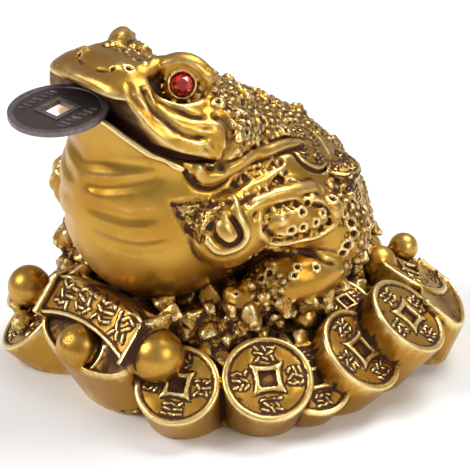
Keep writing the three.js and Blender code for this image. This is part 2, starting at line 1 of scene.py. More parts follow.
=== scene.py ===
"""A money toad: a gilded resin figure on a heap of coins, with a loose cash coin in its mouth.

The casting is modelled in clay on a grid of distances, in millimetres: forms are melted together,
lines of flesh are laid on the hide, and creases, pits and strokes are cut into it. The coin and the
eye stones are modelled from primitives.
"""

import math
from functools import partial
from itertools import product

import bpy
import numpy as np
from mathutils import Matrix, Vector


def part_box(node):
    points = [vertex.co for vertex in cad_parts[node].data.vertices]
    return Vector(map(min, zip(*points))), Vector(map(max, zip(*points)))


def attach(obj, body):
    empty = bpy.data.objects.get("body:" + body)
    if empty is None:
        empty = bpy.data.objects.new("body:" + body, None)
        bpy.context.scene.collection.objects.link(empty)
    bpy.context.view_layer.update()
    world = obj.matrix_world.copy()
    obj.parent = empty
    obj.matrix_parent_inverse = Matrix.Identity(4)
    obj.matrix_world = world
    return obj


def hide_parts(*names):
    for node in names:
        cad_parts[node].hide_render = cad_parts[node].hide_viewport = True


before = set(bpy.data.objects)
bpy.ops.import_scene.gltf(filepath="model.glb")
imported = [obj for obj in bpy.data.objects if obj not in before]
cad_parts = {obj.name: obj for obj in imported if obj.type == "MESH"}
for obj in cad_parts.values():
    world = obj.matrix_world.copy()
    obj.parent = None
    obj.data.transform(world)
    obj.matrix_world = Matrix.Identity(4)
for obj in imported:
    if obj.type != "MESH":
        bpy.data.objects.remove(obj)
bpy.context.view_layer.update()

bl_info = {
    "name": "Money toad figure",
    "version": (1, 0, 0),
    "blender": (4, 5, 0),
    "location": "View3D > Sidebar > Money toad",
    "description": "Models a gilded money toad on a heap of coins, and a stage for it",
    "category": "Add Mesh",
}

MM = 0.001
FAR = 50.0
BOTH = 0
STILL = (0, 0, 0)
CASTING_TRIANGLES = 195000

# Sizes, in millimetres.
LIMB_BLEND = 0.8
TOE_RADII = (2.4, 2.2, 1.3)
MOUTH_DEPTHS = [(-39, 3.2), (-33, 1.1)]
SLOT_GAP = 0.3
EYELID_LENGTH = 12.6
EYELID_HEIGHT = 8.9
EYELID_SHIFT = -0.7
EYEBALL_RADIUS = 5.2
EYEBALL_TOP = 0.6
EYE_FLOOR = 1.4
SEAT_GROOVE = 1.05
SEAT_RING = 0.4
SEAT_GAP = 0.15
NEAR_REACH = 0.6
BROAD_REACH = 2.8
COIN_SOFTENING = 0.1
MARK_WIDTH = 0.55
HEAP_COIN_DIAMETER = 18.8
HEAP_COIN_REACH = 26
HEAP_COIN_RIM = 1.3
HEAP_COIN_FRAME = 3.5
HEAP_COIN_PIT = 1.7
HEAP_COIN_BLOCK = (3.4, 4.4)
HEAP_COIN_BLOCK_AT = 5.6
BACK_COIN_DIAMETER = 11.8
BACK_COIN_RISE = 0.45
BACK_COIN_BEND = 0.028
BACK_COIN_RIM = 1
BACK_COIN_FRAME = 1.1
BACK_COIN_BLOCK = (2.6, 2.6)
BACK_COIN_BLOCK_AT = 3.3
LINE_DEPTH = 0.22
CREASE_RADIUS = 0.9
INGOT_LENGTH = 31
INGOT_REACH = 30
BAND_BLOCK = (5.4, 5.8)
BAND_PITCH = 6.4

# Counts, shares and angles.
STONE_TABLE_CUT = 0.86
SEAT_BEADS = 26
STONE_TURN = 18
BLOCK_ROWS = 3
STROKE_SLANTS = (-1.2, -0.5, 0.2, 0.9)

# How big the granules of each patch are, and how many of them are pits.
BACK_GRANULE = 0.72
ELBOW_GRANULE = 0.65
HAND_GRANULE = 0.66
HEAP_GRANULE = 0.65
PIT_SHARE = 0.22

# Grains strewn over a patch: how far apart they are, and how many places are tried.
BACK_GRAIN = (1.35, 26000)
ELBOW_GRAIN = (1.6, 3000)
HAND_GRAIN = (1.3, 6000)
WEDGE_GRAIN = (0.95, 2500)
HEAP_LUMPS = (3.6, 9000)
HEAP_GRAIN = (2.6, 9000)

# How fine the gold paint's noises are, in waves per metre.
GOLD_SPECKLE = 2600
GOLD_SWIRL = 1100
GOLD_MOTTLE = 420
GOLD_CLOUD = 60

# Between which sums of marks and noises the patina and the painted shade set in, and the rubbed gold.
PATINA_AND_SHADE_RANGE = (0.62, 1.15)
WEAR_RANGE = (0.5, 1.25)

# The toad's free forms, drawn for its left half. Each mass is an ellipsoid: centre, radii, pitch,
# which lifts the front end, yaw, which swings it outwards, and how wide it melts into the rest.
BODY_MASSES = [
    ((0, 3, 38), (26, 33, 19.2), 38, 0, 6),
    ((0, -20, 44.5), (21, 21, 24.5), 0, 0, 8),
    ((0, -21.5, 60), (21, 18, 11), 20, 0, 4),
    ((0, -30.3, 69.3), (12, 9, 6.3), 10, 0, 4),
    ((7.5, -34, 69.8), (6.5, 5.5, 4.6), 0, 0, 3),
    ((10.2, -22.5, 69.4), (4.4, 6.2, 6.1), 8, -33, 2),
    ((15.5, -18.5, 60), (7.5, 8.5, 6.5), 10, 0, 3),
]
ARM_MASSES = [
    ((21.5, -20, 42), (6.5, 8, 8), 0, 0, 4),
    ((21.5, -4, 41), (8.5, 15.5, 8.5), 22, 0, 4),
    ((23.5, 7, 34), (7.5, 7.5, 8.5), 25, 0, 4),
]
FOREARM_MASSES = [
    ((23.5, -2, 28.5), (8.5, 12, 6.5), -6, 0, 2),
    ((21.5, -13, 24), (5, 7.5, 4), 12, 8, 3),
]
UPPER_LIP = [
    (0, -39.4, 72.6),
    (6.5, -38.3, 72),
    (11.2, -36, 69),
    (14.8, -33, 65.2),
    (17.5, -29.8, 62.6),
    (19.5, -26.2, 60.8),
    (20.4, -23.2, 59.4),
]
UPPER_LIP_RADII = (1.3, 1.6, 2.7, 2.9, 2.6, 2.3, 1.9)
LOWER_LIP = [
    (0, -39.6, 65.6),
    (6.5, -38.5, 65.2),
    (11.2, -36.4, 62.4),
    (15, -33.5, 59.4),
    (17.6, -30.6, 57.5),
    (18.8, -29.1, 56.5),
    (19.6, -27.9, 55.4),
]
LOWER_LIP_RADII = (0.8, 0.8, 0.8, 0.8, 0.5)

# The right arm is set further out and forward than the left one.
SIDES = [
    (1, STILL, STILL),
    (-1, (1.5, -2.5, -3), (3.5, -9, 0)),
]

# Rolls of flesh on the left half: a line on the hide, its radius, how far it stands out, and how deep
# the creases on both sides of it are.
BROW = [
    (8.6, -29.6, 72.6),
    (7.6, -26.4, 73.6),
    (9, -22.4, 75.2),
    (12.4, -19, 74),
    (13.5, -18.4, 70.5),
    (14.2, -18, 67.5),
]
LOWER_LID = [(13.2, -30, 69.8), (15.2, -27.6, 68.2), (16.2, -24, 67.6), (16, -21, 68)]
LID_FOLD = [
    (14.2, -30.8, 68.3),
    (15.7, -30.5, 67.1),
    (17.8, -28, 65.7),
    (20.1, -24.7, 64.4),
    (21.3, -21.4, 64.2),
]
JAW_RIDGE = [
    (20.1, -26.8, 56.4),
    (19.4, -25.2, 54.4),
    (20, -23.2, 53.3),
    (21.5, -20.2, 54),
    (22, -15.7, 55.3),
    (22, -12, 55.7),
    (20.4, -6.4, 55.7),
    (18.9, -1.2, 54.8),
    (19.3, 3.2, 53.9),
]
JAW_RIDGE_RADII = (1.7, 1.8, 1.8, 1.6, 1.4, 1.2, 1.1, 1)
BAND_ABOVE = [
    (22.6, -18.2, 49.9),
    (22.3, -14.8, 50.1),
    (22.5, -11.9, 50.5),
    (22.3, -8.2, 50.9),
    (21.8, -5.4, 52),
]
BAND_BELOW = [
    (25.9, -19.2, 47.5),
    (25.9, -14, 48.5),
    (26.6, -10.6, 49.1),
    (27.1, -5.8, 48.8),
    (25.1, 1.5, 46.8),
]
HOOK = [
    (22.4, -19.9, 49.7),
    (25.8, -21.1, 46.9),
    (27.3, -20.4, 44),
    (28.2, -21.1, 41.7),
    (27.2, -23.8, 40.5),
    (25, -25.3, 40.6),
    (23.8, -26.8, 42.6),
    (22.4, -26.6, 44.8),
]
TONGUE = [(25, -24.3, 46), (25.9, -24, 44.1), (26.5, -23.1, 42.7)]
SHIELD = [
    (26.7, -15.4, 47.5),
    (27.8, -9, 47.3),
    (28.4, -4.8, 46.3),
    (28.4, -0.1, 44.3),
    (29.4, 2.7, 40.2),
    (29.6, -2.4, 38.3),
    (29.1, -7.3, 38.5),
    (27, -12.2, 38.2),
    (27.7, -16.3, 41.6),
    (27.6, -17, 44.8),
    (26.7, -15.4, 47.5),
]
BODY_ROLLS = [
    (BROW, 1.8, 1, 0),
    (LOWER_LID, 0.8, 0.5, 0),
    (LID_FOLD, 1.5, 0.5, 0),
    (JAW_RIDGE, JAW_RIDGE_RADII, 1.3, 0.9),
]
ARM_ROLLS = [
    (BAND_ABOVE, 1, 0.5, 0.4),
    (BAND_BELOW, 1.6, 0.9, 0.6),
    (HOOK, 0.9, 0.6, 0.4),
    (TONGUE, 1.4, 0.6, 0),
    (SHIELD, 0.7, 0.4, 0.3),
]

# Creases of the left half: a line on the hide, its radius, and how deep it goes.
LIP_TOP_CREASE = [
    (12.6, -33.5, 72.6),
    (13.7, -33.4, 71),
    (15.5, -32.8, 68.5),
    (17, -31.6, 66.6),
    (18.8, -30.1, 64.7),
    (20.1, -28.1, 63.6),
    (21.3, -24.9, 62.7),
]
LIP_MIDDLE_CREASE = [
    (15.2, -34.9, 68.8),
    (17.2, -33.6, 66.2),
    (18.8, -32, 64.2),
    (19.9, -30, 62.2),
    (21, -27.5, 60.6),
]
LID_CREASE = [
    (13, -31.7, 71.4),
    (13.9, -30.5, 70),
    (14.6, -29.2, 68.6),
    (15.9, -27.7, 67.6),
    (17.6, -26.1, 66.5),
    (18.9, -23.4, 66),
]
CHEEK_REAR = [
    (19.4, -21.6, 65.9),
    (20.2, -20.2, 65.4),
    (21.4, -19.6, 64),
    (22.3, -19.9, 62.3),
    (22.8, -20.2, 60),
    (22.4, -21, 58),
    (21.3, -21.6, 56.1),
]
CHEEK_LINES = [
    [(21.8, -26.3, 61.2), (22.3, -25, 60.1), (22.1, -23.9, 58.5), (21.3, -22.7, 56.5)],
    [(22.2, -23.2, 61.5), (22.7, -22.3, 60.2), (22.5, -21.4, 58.6)],
    [(22.1, -24.6, 62), (22.6, -23.6, 60.4), (22.3, -22.6, 58.4)],
    [(19.6, -26.2, 64.9), (21.4, -23.4, 64.2)],
]
MOUTH_CORNER = [(18.8, -27.4, 57.7), (20.1, -27.3, 56.8), (19, -26.5, 54), (19.6, -25.6, 52.8)]
THROAT_FOLDS = [
    [(0, -39.1, 54.7), (5.9, -37.7, 56.2), (12, -34.7, 56.7), (15.4, -31.7, 56.4)],
    [(1.9, -40.2, 50.9), (7.1, -38.8, 51.6), (12.5, -35.2, 53.1), (15.5, -31.8, 54.4)],
    [(2.5, -40.8, 46.7), (7.8, -39.5, 46.2), (12.1, -37.1, 45.9), (16.2, -33.3, 46.6)],
    [(3, -40.4, 41), (9, -38.2, 39.6), (14, -34.8, 39.4), (17.6, -31, 40.6)],
]
NOSTRIL = [(1.9, -36.7, 73.6), (4.3, -35.9, 73.5), (6.4, -34.5, 73.4)]
SNOUT_CREASE = [(10.2, -35.3, 71.9), (13.1, -36.5, 71), (15.3, -35.2, 68.7)]
BODY_CREASES = [
    (LIP_TOP_CREASE, 0.75, 0.9),
    (LIP_MIDDLE_CREASE, 1.8, 0.5),
    (LID_CREASE, 0.6, 0.7),
    (CHEEK_REAR, 1, 1),
    (MOUTH_CORNER, 0.5, 0.6),
    (NOSTRIL, 0.5, 0.4),
    (SNOUT_CREASE, 0.6, 0.5),
    *((line, 0.4, 0.4) for line in CHEEK_LINES),
    *((line, 2.2, 0.6) for line in THROAT_FOLDS),
]
ELBOW_CREASE = [
    (25.9, -18.9, 36.2),
    (26, -12.3, 37.3),
    (27.9, -3.7, 34),
    (30.4, -1.3, 32.4),
    (31.1, 1.7, 30.8),
]
HOOK_GROOVE = [
    (23.7, -25.7, 46),
    (25.1, -26.4, 43.7),
    (26.3, -25.4, 42.1),
    (26.9, -22.9, 41.5),
    (27, -21.6, 42.9),
    (26.3, -22, 44.9),
    (24.9, -22.7, 46.8),
]
ARM_CREASES = [(ELBOW_CREASE, 0.7, 0.7), (HOOK_GROOVE, 0.6, 0.8)]
SHIELD_MIDDLE = (28.6, -7, 43)
SHIELD_GROOVE_SHARE = 0.8

# Grooves filled with beads: a line, its width and its depth.
BEADS_ABOVE_BAND = [
    (21.2, -18, 51.7),
    (21.5, -15.7, 52.1),
    (21.4, -13, 52.4),
    (21.4, -10.4, 52.7),
    (21.3, -6.1, 52.8),
]
BEADS_IN_BAND = [
    (25.1, -18.3, 48.4),
    (24.9, -16.5, 48.9),
    (25, -14, 49.3),
    (24.8, -11.2, 49.8),
    (23.4, -7.8, 50.3),
]
BODY_BEAD_LINES = [(BEADS_ABOVE_BAND, 1.1, 0.8)]
ARM_BEAD_LINES = [
    (BEADS_IN_BAND, 1.1, 0.9),
    ([(27.6, -15.6, 43.2), (27.5, -14.4, 45.2), (27.9, -11.5, 46.2), (28.3, -8, 46)], 1, 0.6),
    ([(27.2, -13.4, 40), (28.2, -10.6, 39.6), (29.3, -6, 39.6), (29.7, -2, 39.6)], 0.9, 0.5),
    ([(25, -17.5, 36.4), (26.2, -12.5, 35.6), (27, -8, 34.6)], 1.3, 0.5),
]
BEADED_WEDGE = [
    (17.6, -30.8, 49.2),
    (24.1, -21, 49.6),
    (23.9, -26.4, 45),
    (22.6, -28.1, 41.4),
    (19.8, -28.9, 43.2),
]

# Round pits with a raised lip: place and radius.
NECK_PITS = [
    ((7.6, -33.2, 73.6), 0.6),
    ((5.4, -34.8, 73.9), 0.5),
    ((22.2, -16.1, 61.7), 0.7),
    ((17.7, -19.2, 67.5), 0.55),
    ((15, -5.5, 59.6), 0.9),
    ((16.3, -0.4, 56.6), 0.8),
    ((20, -11.9, 58.6), 0.8),
    ((18.8, -14.5, 64.8), 0.9),
]
ARM_PITS = [
    ((25.2, -6, 49.3), 0.9),
    ((28.7, -5, 45.8), 0.6),
    ((29.3, -7.1, 44.7), 0.65),
    ((29.7, -7.2, 41.5), 0.6),
    ((29.1, -9.8, 41.5), 0.65),
    ((28.1, -11.9, 40.2), 0.6),
    ((29.5, -1.6, 42.9), 0.6),
    ((29.6, 0.3, 40.4), 0.7),
    ((28.6, -9.2, 46.1), 0.5),
    ((29.9, -3.9, 41.7), 0.55),
    ((29.6, 5.9, 38.5), 0.8),
    ((30.1, 6.1, 36.4), 0.6),
    ((30.5, 4.4, 34.3), 0.9),
    ((29.9, 3.6, 32.8), 0.7),
    ((29.5, 4.8, 41.3), 0.7),
    ((27.1, 8.8, 41.3), 0.8),
    ((28.6, 2, 45), 0.7),
    ((29, 10.5, 36.5), 0.8),
]
FOREARM_PITS = [
    ((28.6, -7.6, 32.3), 0.5),
    ((30.5, -4.1, 31.8), 0.5),
    ((29.1, -8.9, 30.9), 0.45),
    ((25.6, -12.6, 31.4), 0.6),
    ((24.4, -14, 30.4), 0.55),
    ((22.6, -18.6, 27.6), 0.45),
]

# Bumps: a place and how far each stands out.
BODY_BUMPS = [
    ((6, -33.6, 73.8), 0.9),
    ((10.2, -6.7, 63.5), 2),
    ((17.1, -18.7, 67.2), 1.1),
    ((22.8, -18.1, 61.7), 0.9),
    ((16.4, -8.8, 60.7), 1.3),
    ((5, 2, 60.5), 1.4),
    ((6, 13, 55.5), 1.4),
    ((7, 25, 46), 1.4),
]
ARM_BUMPS = [
    ((29, -12.1, 43.9), 1),
    ((28.4, 2.8, 42.6), 1.7),
    ((28, -3, 46.3), 0.5),
    ((26.5, 0.2, 46.5), 0.6),
    ((23.8, 5.6, 45.2), 0.6),
    ((23.6, 8.6, 43.2), 0.6),
]
FOREARM_BUMPS = [
    ((22.5, -15.5, 29), 1),
    ((20.4, -18.6, 27), 1),
    ((24.6, -10.6, 32), 0.8),
    ((17, -17.4, 26.6), 0.9),
    ((25.6, -14.4, 26.4), 0.9),
]

# Coins on the flank, the toes from root to tip, and how the eyes face and are rolled.
BACK_COINS = [(18.6, 4.2, 53), (19, 11.5, 48), (20.5, 14.5, 43)]
TOES = [
    ((11, -17.4, 24), (10.4, -19.7, 22.5), (10.6, -23.8, 18)),
    ((16.6, -16.3, 23), (16.8, -19.7, 20.5), (13.9, -22.6, 16)),
    ((21.4, -14.5, 21.5), (22.1, -17.7, 18.5), (21.4, -20.1, 14)),
]
EYE_WAY = (0.75, -0.5, 0.42)
EYE_ROLL = -11

# The gap between the lips, seen from the side, and how the coin in it is tilted and turned.
MOUTH_GAP = [
    (-22.5, 57.3),
    (-26.4, 59),
    (-30, 60.2),
    (-33.4, 61.9),
    (-36, 66),
    (-37.6, 70.8),
    (-60, 72.4),
    (-60, 66.4),
    (-39, 66.4),
    (-36.4, 63.2),
    (-33.5, 60.2),
    (-30.3, 58.5),
    (-26.8, 57.4),
    (-22.5, 56.7),
]
MOUTH_COIN_WAY = (0.076, -0.121, 0.99)
MOUTH_COIN_TURN = -25

# The heap: place of the face, compass bearing, tilt from level, and size beside the common coin.
HEAP_COINS = [
    ((22.3, -34, 12), -53, 38, 0.94),
    ((33.5, -19.4, 13), -30, 38, 1),
    ((36.2, -9, 10.5), -12, 40, 0.88),
    ((37.5, 3, 13.6), 20, 40, 1.05),
    ((37.5, 16.5, 17), 28, 37, 1.02),
    ((27, 8, 19), 10, 28, 0.7),
    ((22, 32.3, 17.3), 62, 28, 1),
    ((-20, 36.5, 13), 120, 40, 1),
    ((-32.5, 26, 12), 142, 40, 1),
    ((-37.5, 10.5, 14), 165, 39, 1),
    ((-37.5, -6, 12), 188, 40, 1),
    ((-34, -22, 13), 212, 39, 1),
    ((-24, -38, 10.8), -122, 44, 1),
]

# Pearls with their radius, and rough nuggets with their size.
PEARLS = [
    ((16.8, -34.6, 16.4), 5.6),
    ((-26, -36.6, 16.4), 4.7),
    ((25, 1, 19.5), 2.5),
    ((26, -3, 18), 2.75),
    ((18, 26, 18.7), 4.2),
    ((16.3, 35.5, 19.2), 3.3),
    ((-24, 24, 19), 4),
]
NUGGETS = [
    ((-15, -25.5, 23), 5.5),
    ((-8, -25.5, 23), 5),
    ((-1, -26, 22.5), 5.5),
    ((5, -22, 20), 5.5),
    ((15.5, -22, 17.5), 5),
    ((21, -18, 16), 6),
    ((-22.5, -40.6, 11), 5),
    ((-26.5, -39.5, 12.5), 4),
    ((-29, -38.5, 13.5), 4.5),
    ((-31.5, -35, 13.5), 4),
    ((13, 27, 26), 6),
    ((-13, 28, 25), 6),
]

# Ingots, as the coins are given, and the mound under it all: its outline and the banks on it.
INGOTS = [
    ((1, -41, 16), -90, 50, 1),
    ((0, 37, 14), 90, 45, 0.92),
    ((32.3, 34.5, 12.8), 48, 40, 0.7),
]
MOUND = [(36, -2), (37, 7), (33, 13.5), (27, 17), (18, 19.5), (9, 20)]
BANKS = [((15, -20, 16), (8, 7, 7.5)), ((-17, -26, 16), (7, 6, 7))]

# Strokes on the loose coin, in a row beside its hole: place along the row, length and slant.
MARK_ROW = 5.7
MARK_STROKES = [
    (-4.3, 1.7, 20),
    (-3, 2.2, 12),
    (-1.6, 1.9, 26),
    (-0.1, 2.3, 15),
    (1.4, 1.8, 22),
    (2.8, 2.2, 10),
    (4.2, 1.6, 24),
]

# The stage: lights with their place and width, the floor and the camera.
LIGHTS = [
    ("key", (-0.35, -0.75, 0.75), 0.45),
    ("fill", (0.85, 0.1, 0.5), 0.4),
    ("top", (0.1, 0.45, 0.9), 0.5),
]
FLOOR_WIDTH = 4
LOOK_AT = (0, 0, 0.027)
CAMERA_AT = (0.2777, -0.233, 0.196)
CAMERA_DISTANCE = 0.4
HALF_PICTURE = 0.051


def melt(a, b, blend):
    """The nearer of two distances, with the valley between them filled over the blend's width."""
    if blend <= 0:
        return np.minimum(a, b)
    overlap = np.maximum(blend - np.abs(a - b), 0)
    return np.minimum(a, b) - overlap * overlap / (4 * blend)


def smooth_line(points, parts=4):
    """A smooth line through the points."""
    points = np.array(points, float)
    before = 2 * points[0] - points[1]
    after = 2 * points[-1] - points[-2]
    knots = np.vstack([before, points, after])
    line = []
    for a, b, c, d in zip(knots[:-3], knots[1:-2], knots[2:-1], knots[3:]):
        for t in np.linspace(0, 1, parts, endpoint=False):
            linear = 2 * b + (c - a) * t
            bent = (2 * a - 5 * b + 4 * c - d) * t**2 + (3 * b - a - 3 * c + d) * t**3
            line.append((linear + bent) / 2)
    return np.array([*line, points[-1]])


def spread(values, count):
    """The values, read off evenly at that many places."""
    return np.interp(np.linspace(0, 1, count), np.linspace(0, 1, len(values)), values)


def lean(bearing, tilt):
    """A direction that leans from upright by the tilt, towards the compass bearing."""
    b = math.radians(bearing)
    t = math.radians(tilt)
    return np.array([math.cos(b) * math.sin(t), math.sin(b) * math.sin(t), math.cos(t)])


def unit(way):
    return np.array(way, float) / np.linalg.norm(way)


def facing(way):
    """Columns of a frame that faces that way, with its first axis as level as can be."""
    way = unit(way)
    level = unit(np.cross((0, 0, 1), way))
    return np.column_stack([level, np.cross(way, level), way])


def turning(pitch, yaw):
    turn = Matrix.Rotation(math.radians(yaw), 3, "Z") @ Matrix.Rotation(-math.radians(pitch), 3, "X")
    return np.array(turn)


def in_frame(axes, at, columns):
    """The grid's places as seen from a frame: three arrays."""
    moved = [axis - float(origin) for axis, origin in zip(axes, at)]
    return [sum(np.float32(columns[i][j]) * moved[i] for i in range(3)) for j in range(3)]


def ellipsoid(axes, centre, radii, turn):
    local = in_frame(axes, centre, turn)
    scaled = [c / np.float32(r) for c, r in zip(local, radii)]
    reach = np.sqrt(sum(s * s for s in scaled))
    slope = np.sqrt(sum((s / np.float32(r)) ** 2 for s, r in zip(scaled, radii)))
    return reach * (reach - 1) / np.maximum(slope, 1e-6)


def ball(axes, centre, radius):
    return np.sqrt(sum((axis - float(c)) ** 2 for axis, c in zip(axes, centre))) - radius


def polygon(u, v, corners):
    """The distance to a flat outline, less than nothing inside it."""
    nearest = np.full(np.broadcast(u, v).shape, FAR**2, np.float32)
    inside = np.zeros(nearest.shape, bool)
    for (u0, v0), (u1, v1) in zip(corners, corners[1:] + corners[:1]):
        du = u1 - u0
        dv = v1 - v0
        share = np.clip(((u - u0) * du + (v - v0) * dv) / (du * du + dv * dv), 0, 1)
        nearest = np.minimum(nearest, (u - u0 - share * du) ** 2 + (v - v0 - share * dv) ** 2)
        if dv:
            crosses = ((v0 <= v) != (v1 <= v)) & (u < u0 + (v - v0) * du / dv)
            inside ^= crosses
    return np.where(inside, -1, 1) * np.sqrt(nearest)


def bar(u, v, start, end, width):
    """The distance to a flat stroke with round ends."""
    du = end[0] - start[0]
    dv = end[1] - start[1]
    share = np.clip(((u - start[0]) * du + (v - start[1]) * dv) / (du * du + dv * dv), 0, 1)
    return np.hypot(u - start[0] - share * du, v - start[1] - share * dv) - width / 2


def raised(distance, height, softness=0.4):
    """A low relief: its height inside the outline, and nothing outside it."""
    return height * np.clip(0.5 - distance / softness, 0, 1)


def laid_along(places, axis):
    """A row of places as a grid of three axes, laid along one of them."""
    return places.reshape(np.roll((-1, 1, 1), axis))


class Clay:
    """A block of clay: how far each point of a grid is from the surface, less than nothing inside."""

    def __init__(self, low, high, step):
        self.low = np.array(low, float)
        self.step = step
        self.size = np.ceil((np.array(high) - self.low) / step).astype(int) + 1
        self.distance = np.full(self.size, FAR, np.float32)
        self.printed = []

    def window(self, low, high):
        """The part of the grid in a box: its slices and the places along its three axes."""
        first = np.clip(np.floor((np.array(low) - self.low) / self.step).astype(int), 0, self.size)
        last = np.clip(np.ceil((np.array(high) - self.low) / self.step).astype(int) + 1, 0, self.size)
        slices = tuple(slice(a, b) for a, b in zip(first, last))
        axes = []
        for i in range(3):
            places = self.low[i] + self.step * np.arange(first[i], max(first[i], last[i]))
            axes.append(laid_along(places.astype(np.float32), i))
        return slices, axes

    def around(self, place, reach):
        """The part of the grid that is within reach of a place along all three axes."""
        return self.window(np.array(place) - reach, np.array(place) + reach)

    def facing_window(self, place, way, reach):
        """The part of the grid round a place: its slices, and how far its points are across and out."""
        slices, axes = self.around(place, reach)
        return slices, *in_frame(axes, place, facing(way))

    def add(self, slices, distance, blend=0.0):
        self.distance[slices] = melt(self.distance[slices], distance, blend)

    def cut(self, slices, distance, blend=0.0):
        self.distance[slices] = -melt(-self.distance[slices], distance, blend)

    def read(self, places, values=None, stride=1):
        """The distance, or values on every so many points of the grid, at places between them."""
        values = self.distance if values is None else values
        at = (np.asarray(places, float) - self.low) / (stride * self.step)
        at = np.clip(at, 0, np.array(values.shape) - 1.001)
        cell = np.floor(at).astype(int)
        share = (at - cell).astype(np.float32)
        total = np.zeros(len(at), np.float32)
        for corner in np.ndindex(2, 2, 2):
            weight = np.prod(np.where(corner, share, 1 - share), axis=1)
            i, j, k = (cell + corner).T
            total += weight * values[i, j, k]
        return total

    def bulge(self, places, reach):
        """How much the surface stands out at places on it, less than nothing in a hollow."""
        stride = max(1, round(reach / self.step / 3))
        values = np.clip(self.distance[::stride, ::stride, ::stride], -reach, reach)
        count = max(1, round(reach / self.step / stride))
        for axis in range(3):
            total = values.copy()
            for shift in range(1, count + 1):
                total += np.roll(values, shift, axis) + np.roll(values, -shift, axis)
            values = total / (2 * count + 1)
        return (self.read(places, values, stride) - self.read(places)) / reach

    def slope(self, places):
        places = np.asarray(places, float)
        slope = np.empty_like(places)
        for axis in range(3):
            offset = np.zeros(3)
            offset[axis] = 2 * self.step
            slope[:, axis] = self.read(places + offset) - self.read(places - offset)
        return slope / np.maximum(np.linalg.norm(slope, axis=1, keepdims=True), 1e-9)

    def settle(self, places, height=0.0):
        """Moves places onto the surface, or to a height above it."""
        places = np.array(places, float)
        for _ in range(6):
            places += self.slope(places) * (height - self.read(places))[:, None]
        return places

    def own_window(self, masses, side, shift):
        """The window of some masses on a side, and that window's places as if on the left."""
        lows = [np.array(centre) - max(radii) - blend - 1 for centre, radii, _, _, blend in masses]
        highs = [np.array(centre) + max(radii) + blend + 1 for centre, radii, _, _, blend in masses]
        low = np.min(lows, 0) + shift
        high = np.max(highs, 0) + shift
        if side == BOTH:
            low[0] = -high[0]
        if side < 0:
            low[0], high[0] = -high[0], -low[0]
        slices, axes = self.window(low, high)
        x = np.abs(axes[0]) if side == BOTH else side * axes[0]
        return slices, [x - shift[0], axes[1] - shift[1], axes[2] - shift[2]]

    def masses(self, masses, blend, side=BOTH, shift=STILL):
        """Adds ellipsoids that are melted together first."""
        slices, axes = self.own_window(masses, side, shift)
        whole = np.float32(FAR)
        for centre, radii, pitch, yaw, own_blend in masses:
            whole = melt(whole, ellipsoid(axes, centre, radii, turning(pitch, yaw)), own_blend)
        self.add(slices, whole, blend)

    def chain(self, line, radii, margin=1.5, fold=False):
        """The window and distance of a bead that follows a line."""
        line = np.array(line, float)
        radii = spread(np.atleast_1d(radii), len(line)) if np.ndim(radii) else np.full(len(line), radii)
        reach = radii.max() + margin
        low = line.min(0) - reach
        high = line.max(0) + reach
        if fold:
            low[0] = -high[0]
        slices, axes = self.window(low, high)
        axes[0] = np.abs(axes[0]) if fold else axes[0]
        distance = np.full([axis.size for axis in axes], FAR, np.float32)
        for a, b, ra, rb in zip(line[:-1], line[1:], radii[:-1], radii[1:]):
            near = []
            moved = []
            for i, axis in enumerate(axes):
                places = axis.ravel()
                inside = np.abs(places - (a[i] + b[i]) / 2) <= abs(a[i] - b[i]) / 2 + reach
                where = np.flatnonzero(inside)
                near.append(slice(where[0], where[-1] + 1) if len(where) else slice(0, 0))
                moved.append(laid_along(places[near[i]], i) - a[i])
            near = tuple(near)
            way = b - a
            share = sum(m * w for m, w in zip(moved, way)) / max(way @ way, 1e-9)
            share = np.clip(share, 0, 1)
            gap = sum((m - share * w) ** 2 for m, w in zip(moved, way))
            distance[near] = np.minimum(distance[near], np.sqrt(gap) - (ra + (rb - ra) * share))
        return slices, distance

    def roll(self, line, radius, rise, blend=1.2):
        """Lays a bead of flesh on the hide. Its ends dip into the hide."""
        line = self.settle(smooth_line(line))
        radii = spread(np.atleast_1d(radius), len(line))
        depth = radii * (rise / radii.max() - 1)
        depth[[0, -1]] -= radii[[0, -1]]
        depth[[1, -2]] -= 0.4 * radii[[1, -2]]
        line = line + self.slope(line) * depth[:, None]
        self.add(*self.chain(line, radii), blend)

    def crease(self, line, radius, depth, blend=0.6):
        """Cuts a groove that runs out at both ends."""
        line = self.settle(smooth_line(line))
        height = np.full(len(line), float(radius - depth))
        height[[0, -1]] += depth
        height[[1, -2]] += 0.3 * depth
        line = line + self.slope(line) * height[:, None]
        self.cut(*self.chain(line, radius), blend)

    def flank(self, line, radius, depth):
        """Cuts a crease on both sides of a line, where a roll will lie."""
        line = self.settle(smooth_line(line))
        across = np.cross(self.slope(line), np.gradient(line, axis=0))
        across /= np.linalg.norm(across, axis=1, keepdims=True)
        radii = spread(np.atleast_1d(radius), len(line))
        for side in (1, -1):
            beside = self.settle(line + side * across * (radii + 0.1)[:, None])
            height = np.full(len(line), CREASE_RADIUS - depth)
            height[[0, -1]] += depth
            self.cut(*self.chain(beside + self.slope(beside) * height[:, None], CREASE_RADIUS), 0.5)

    def bead(self, place, radius, blend=0.2):
        slices, axes = self.around(place, radius + 1)
        self.add(slices, ball(axes, place, radius), blend)

    def pit(self, place, radius, blend=0.2):
        slices, axes = self.around(place, radius + 1)
        self.cut(slices, ball(axes, place, radius), blend)

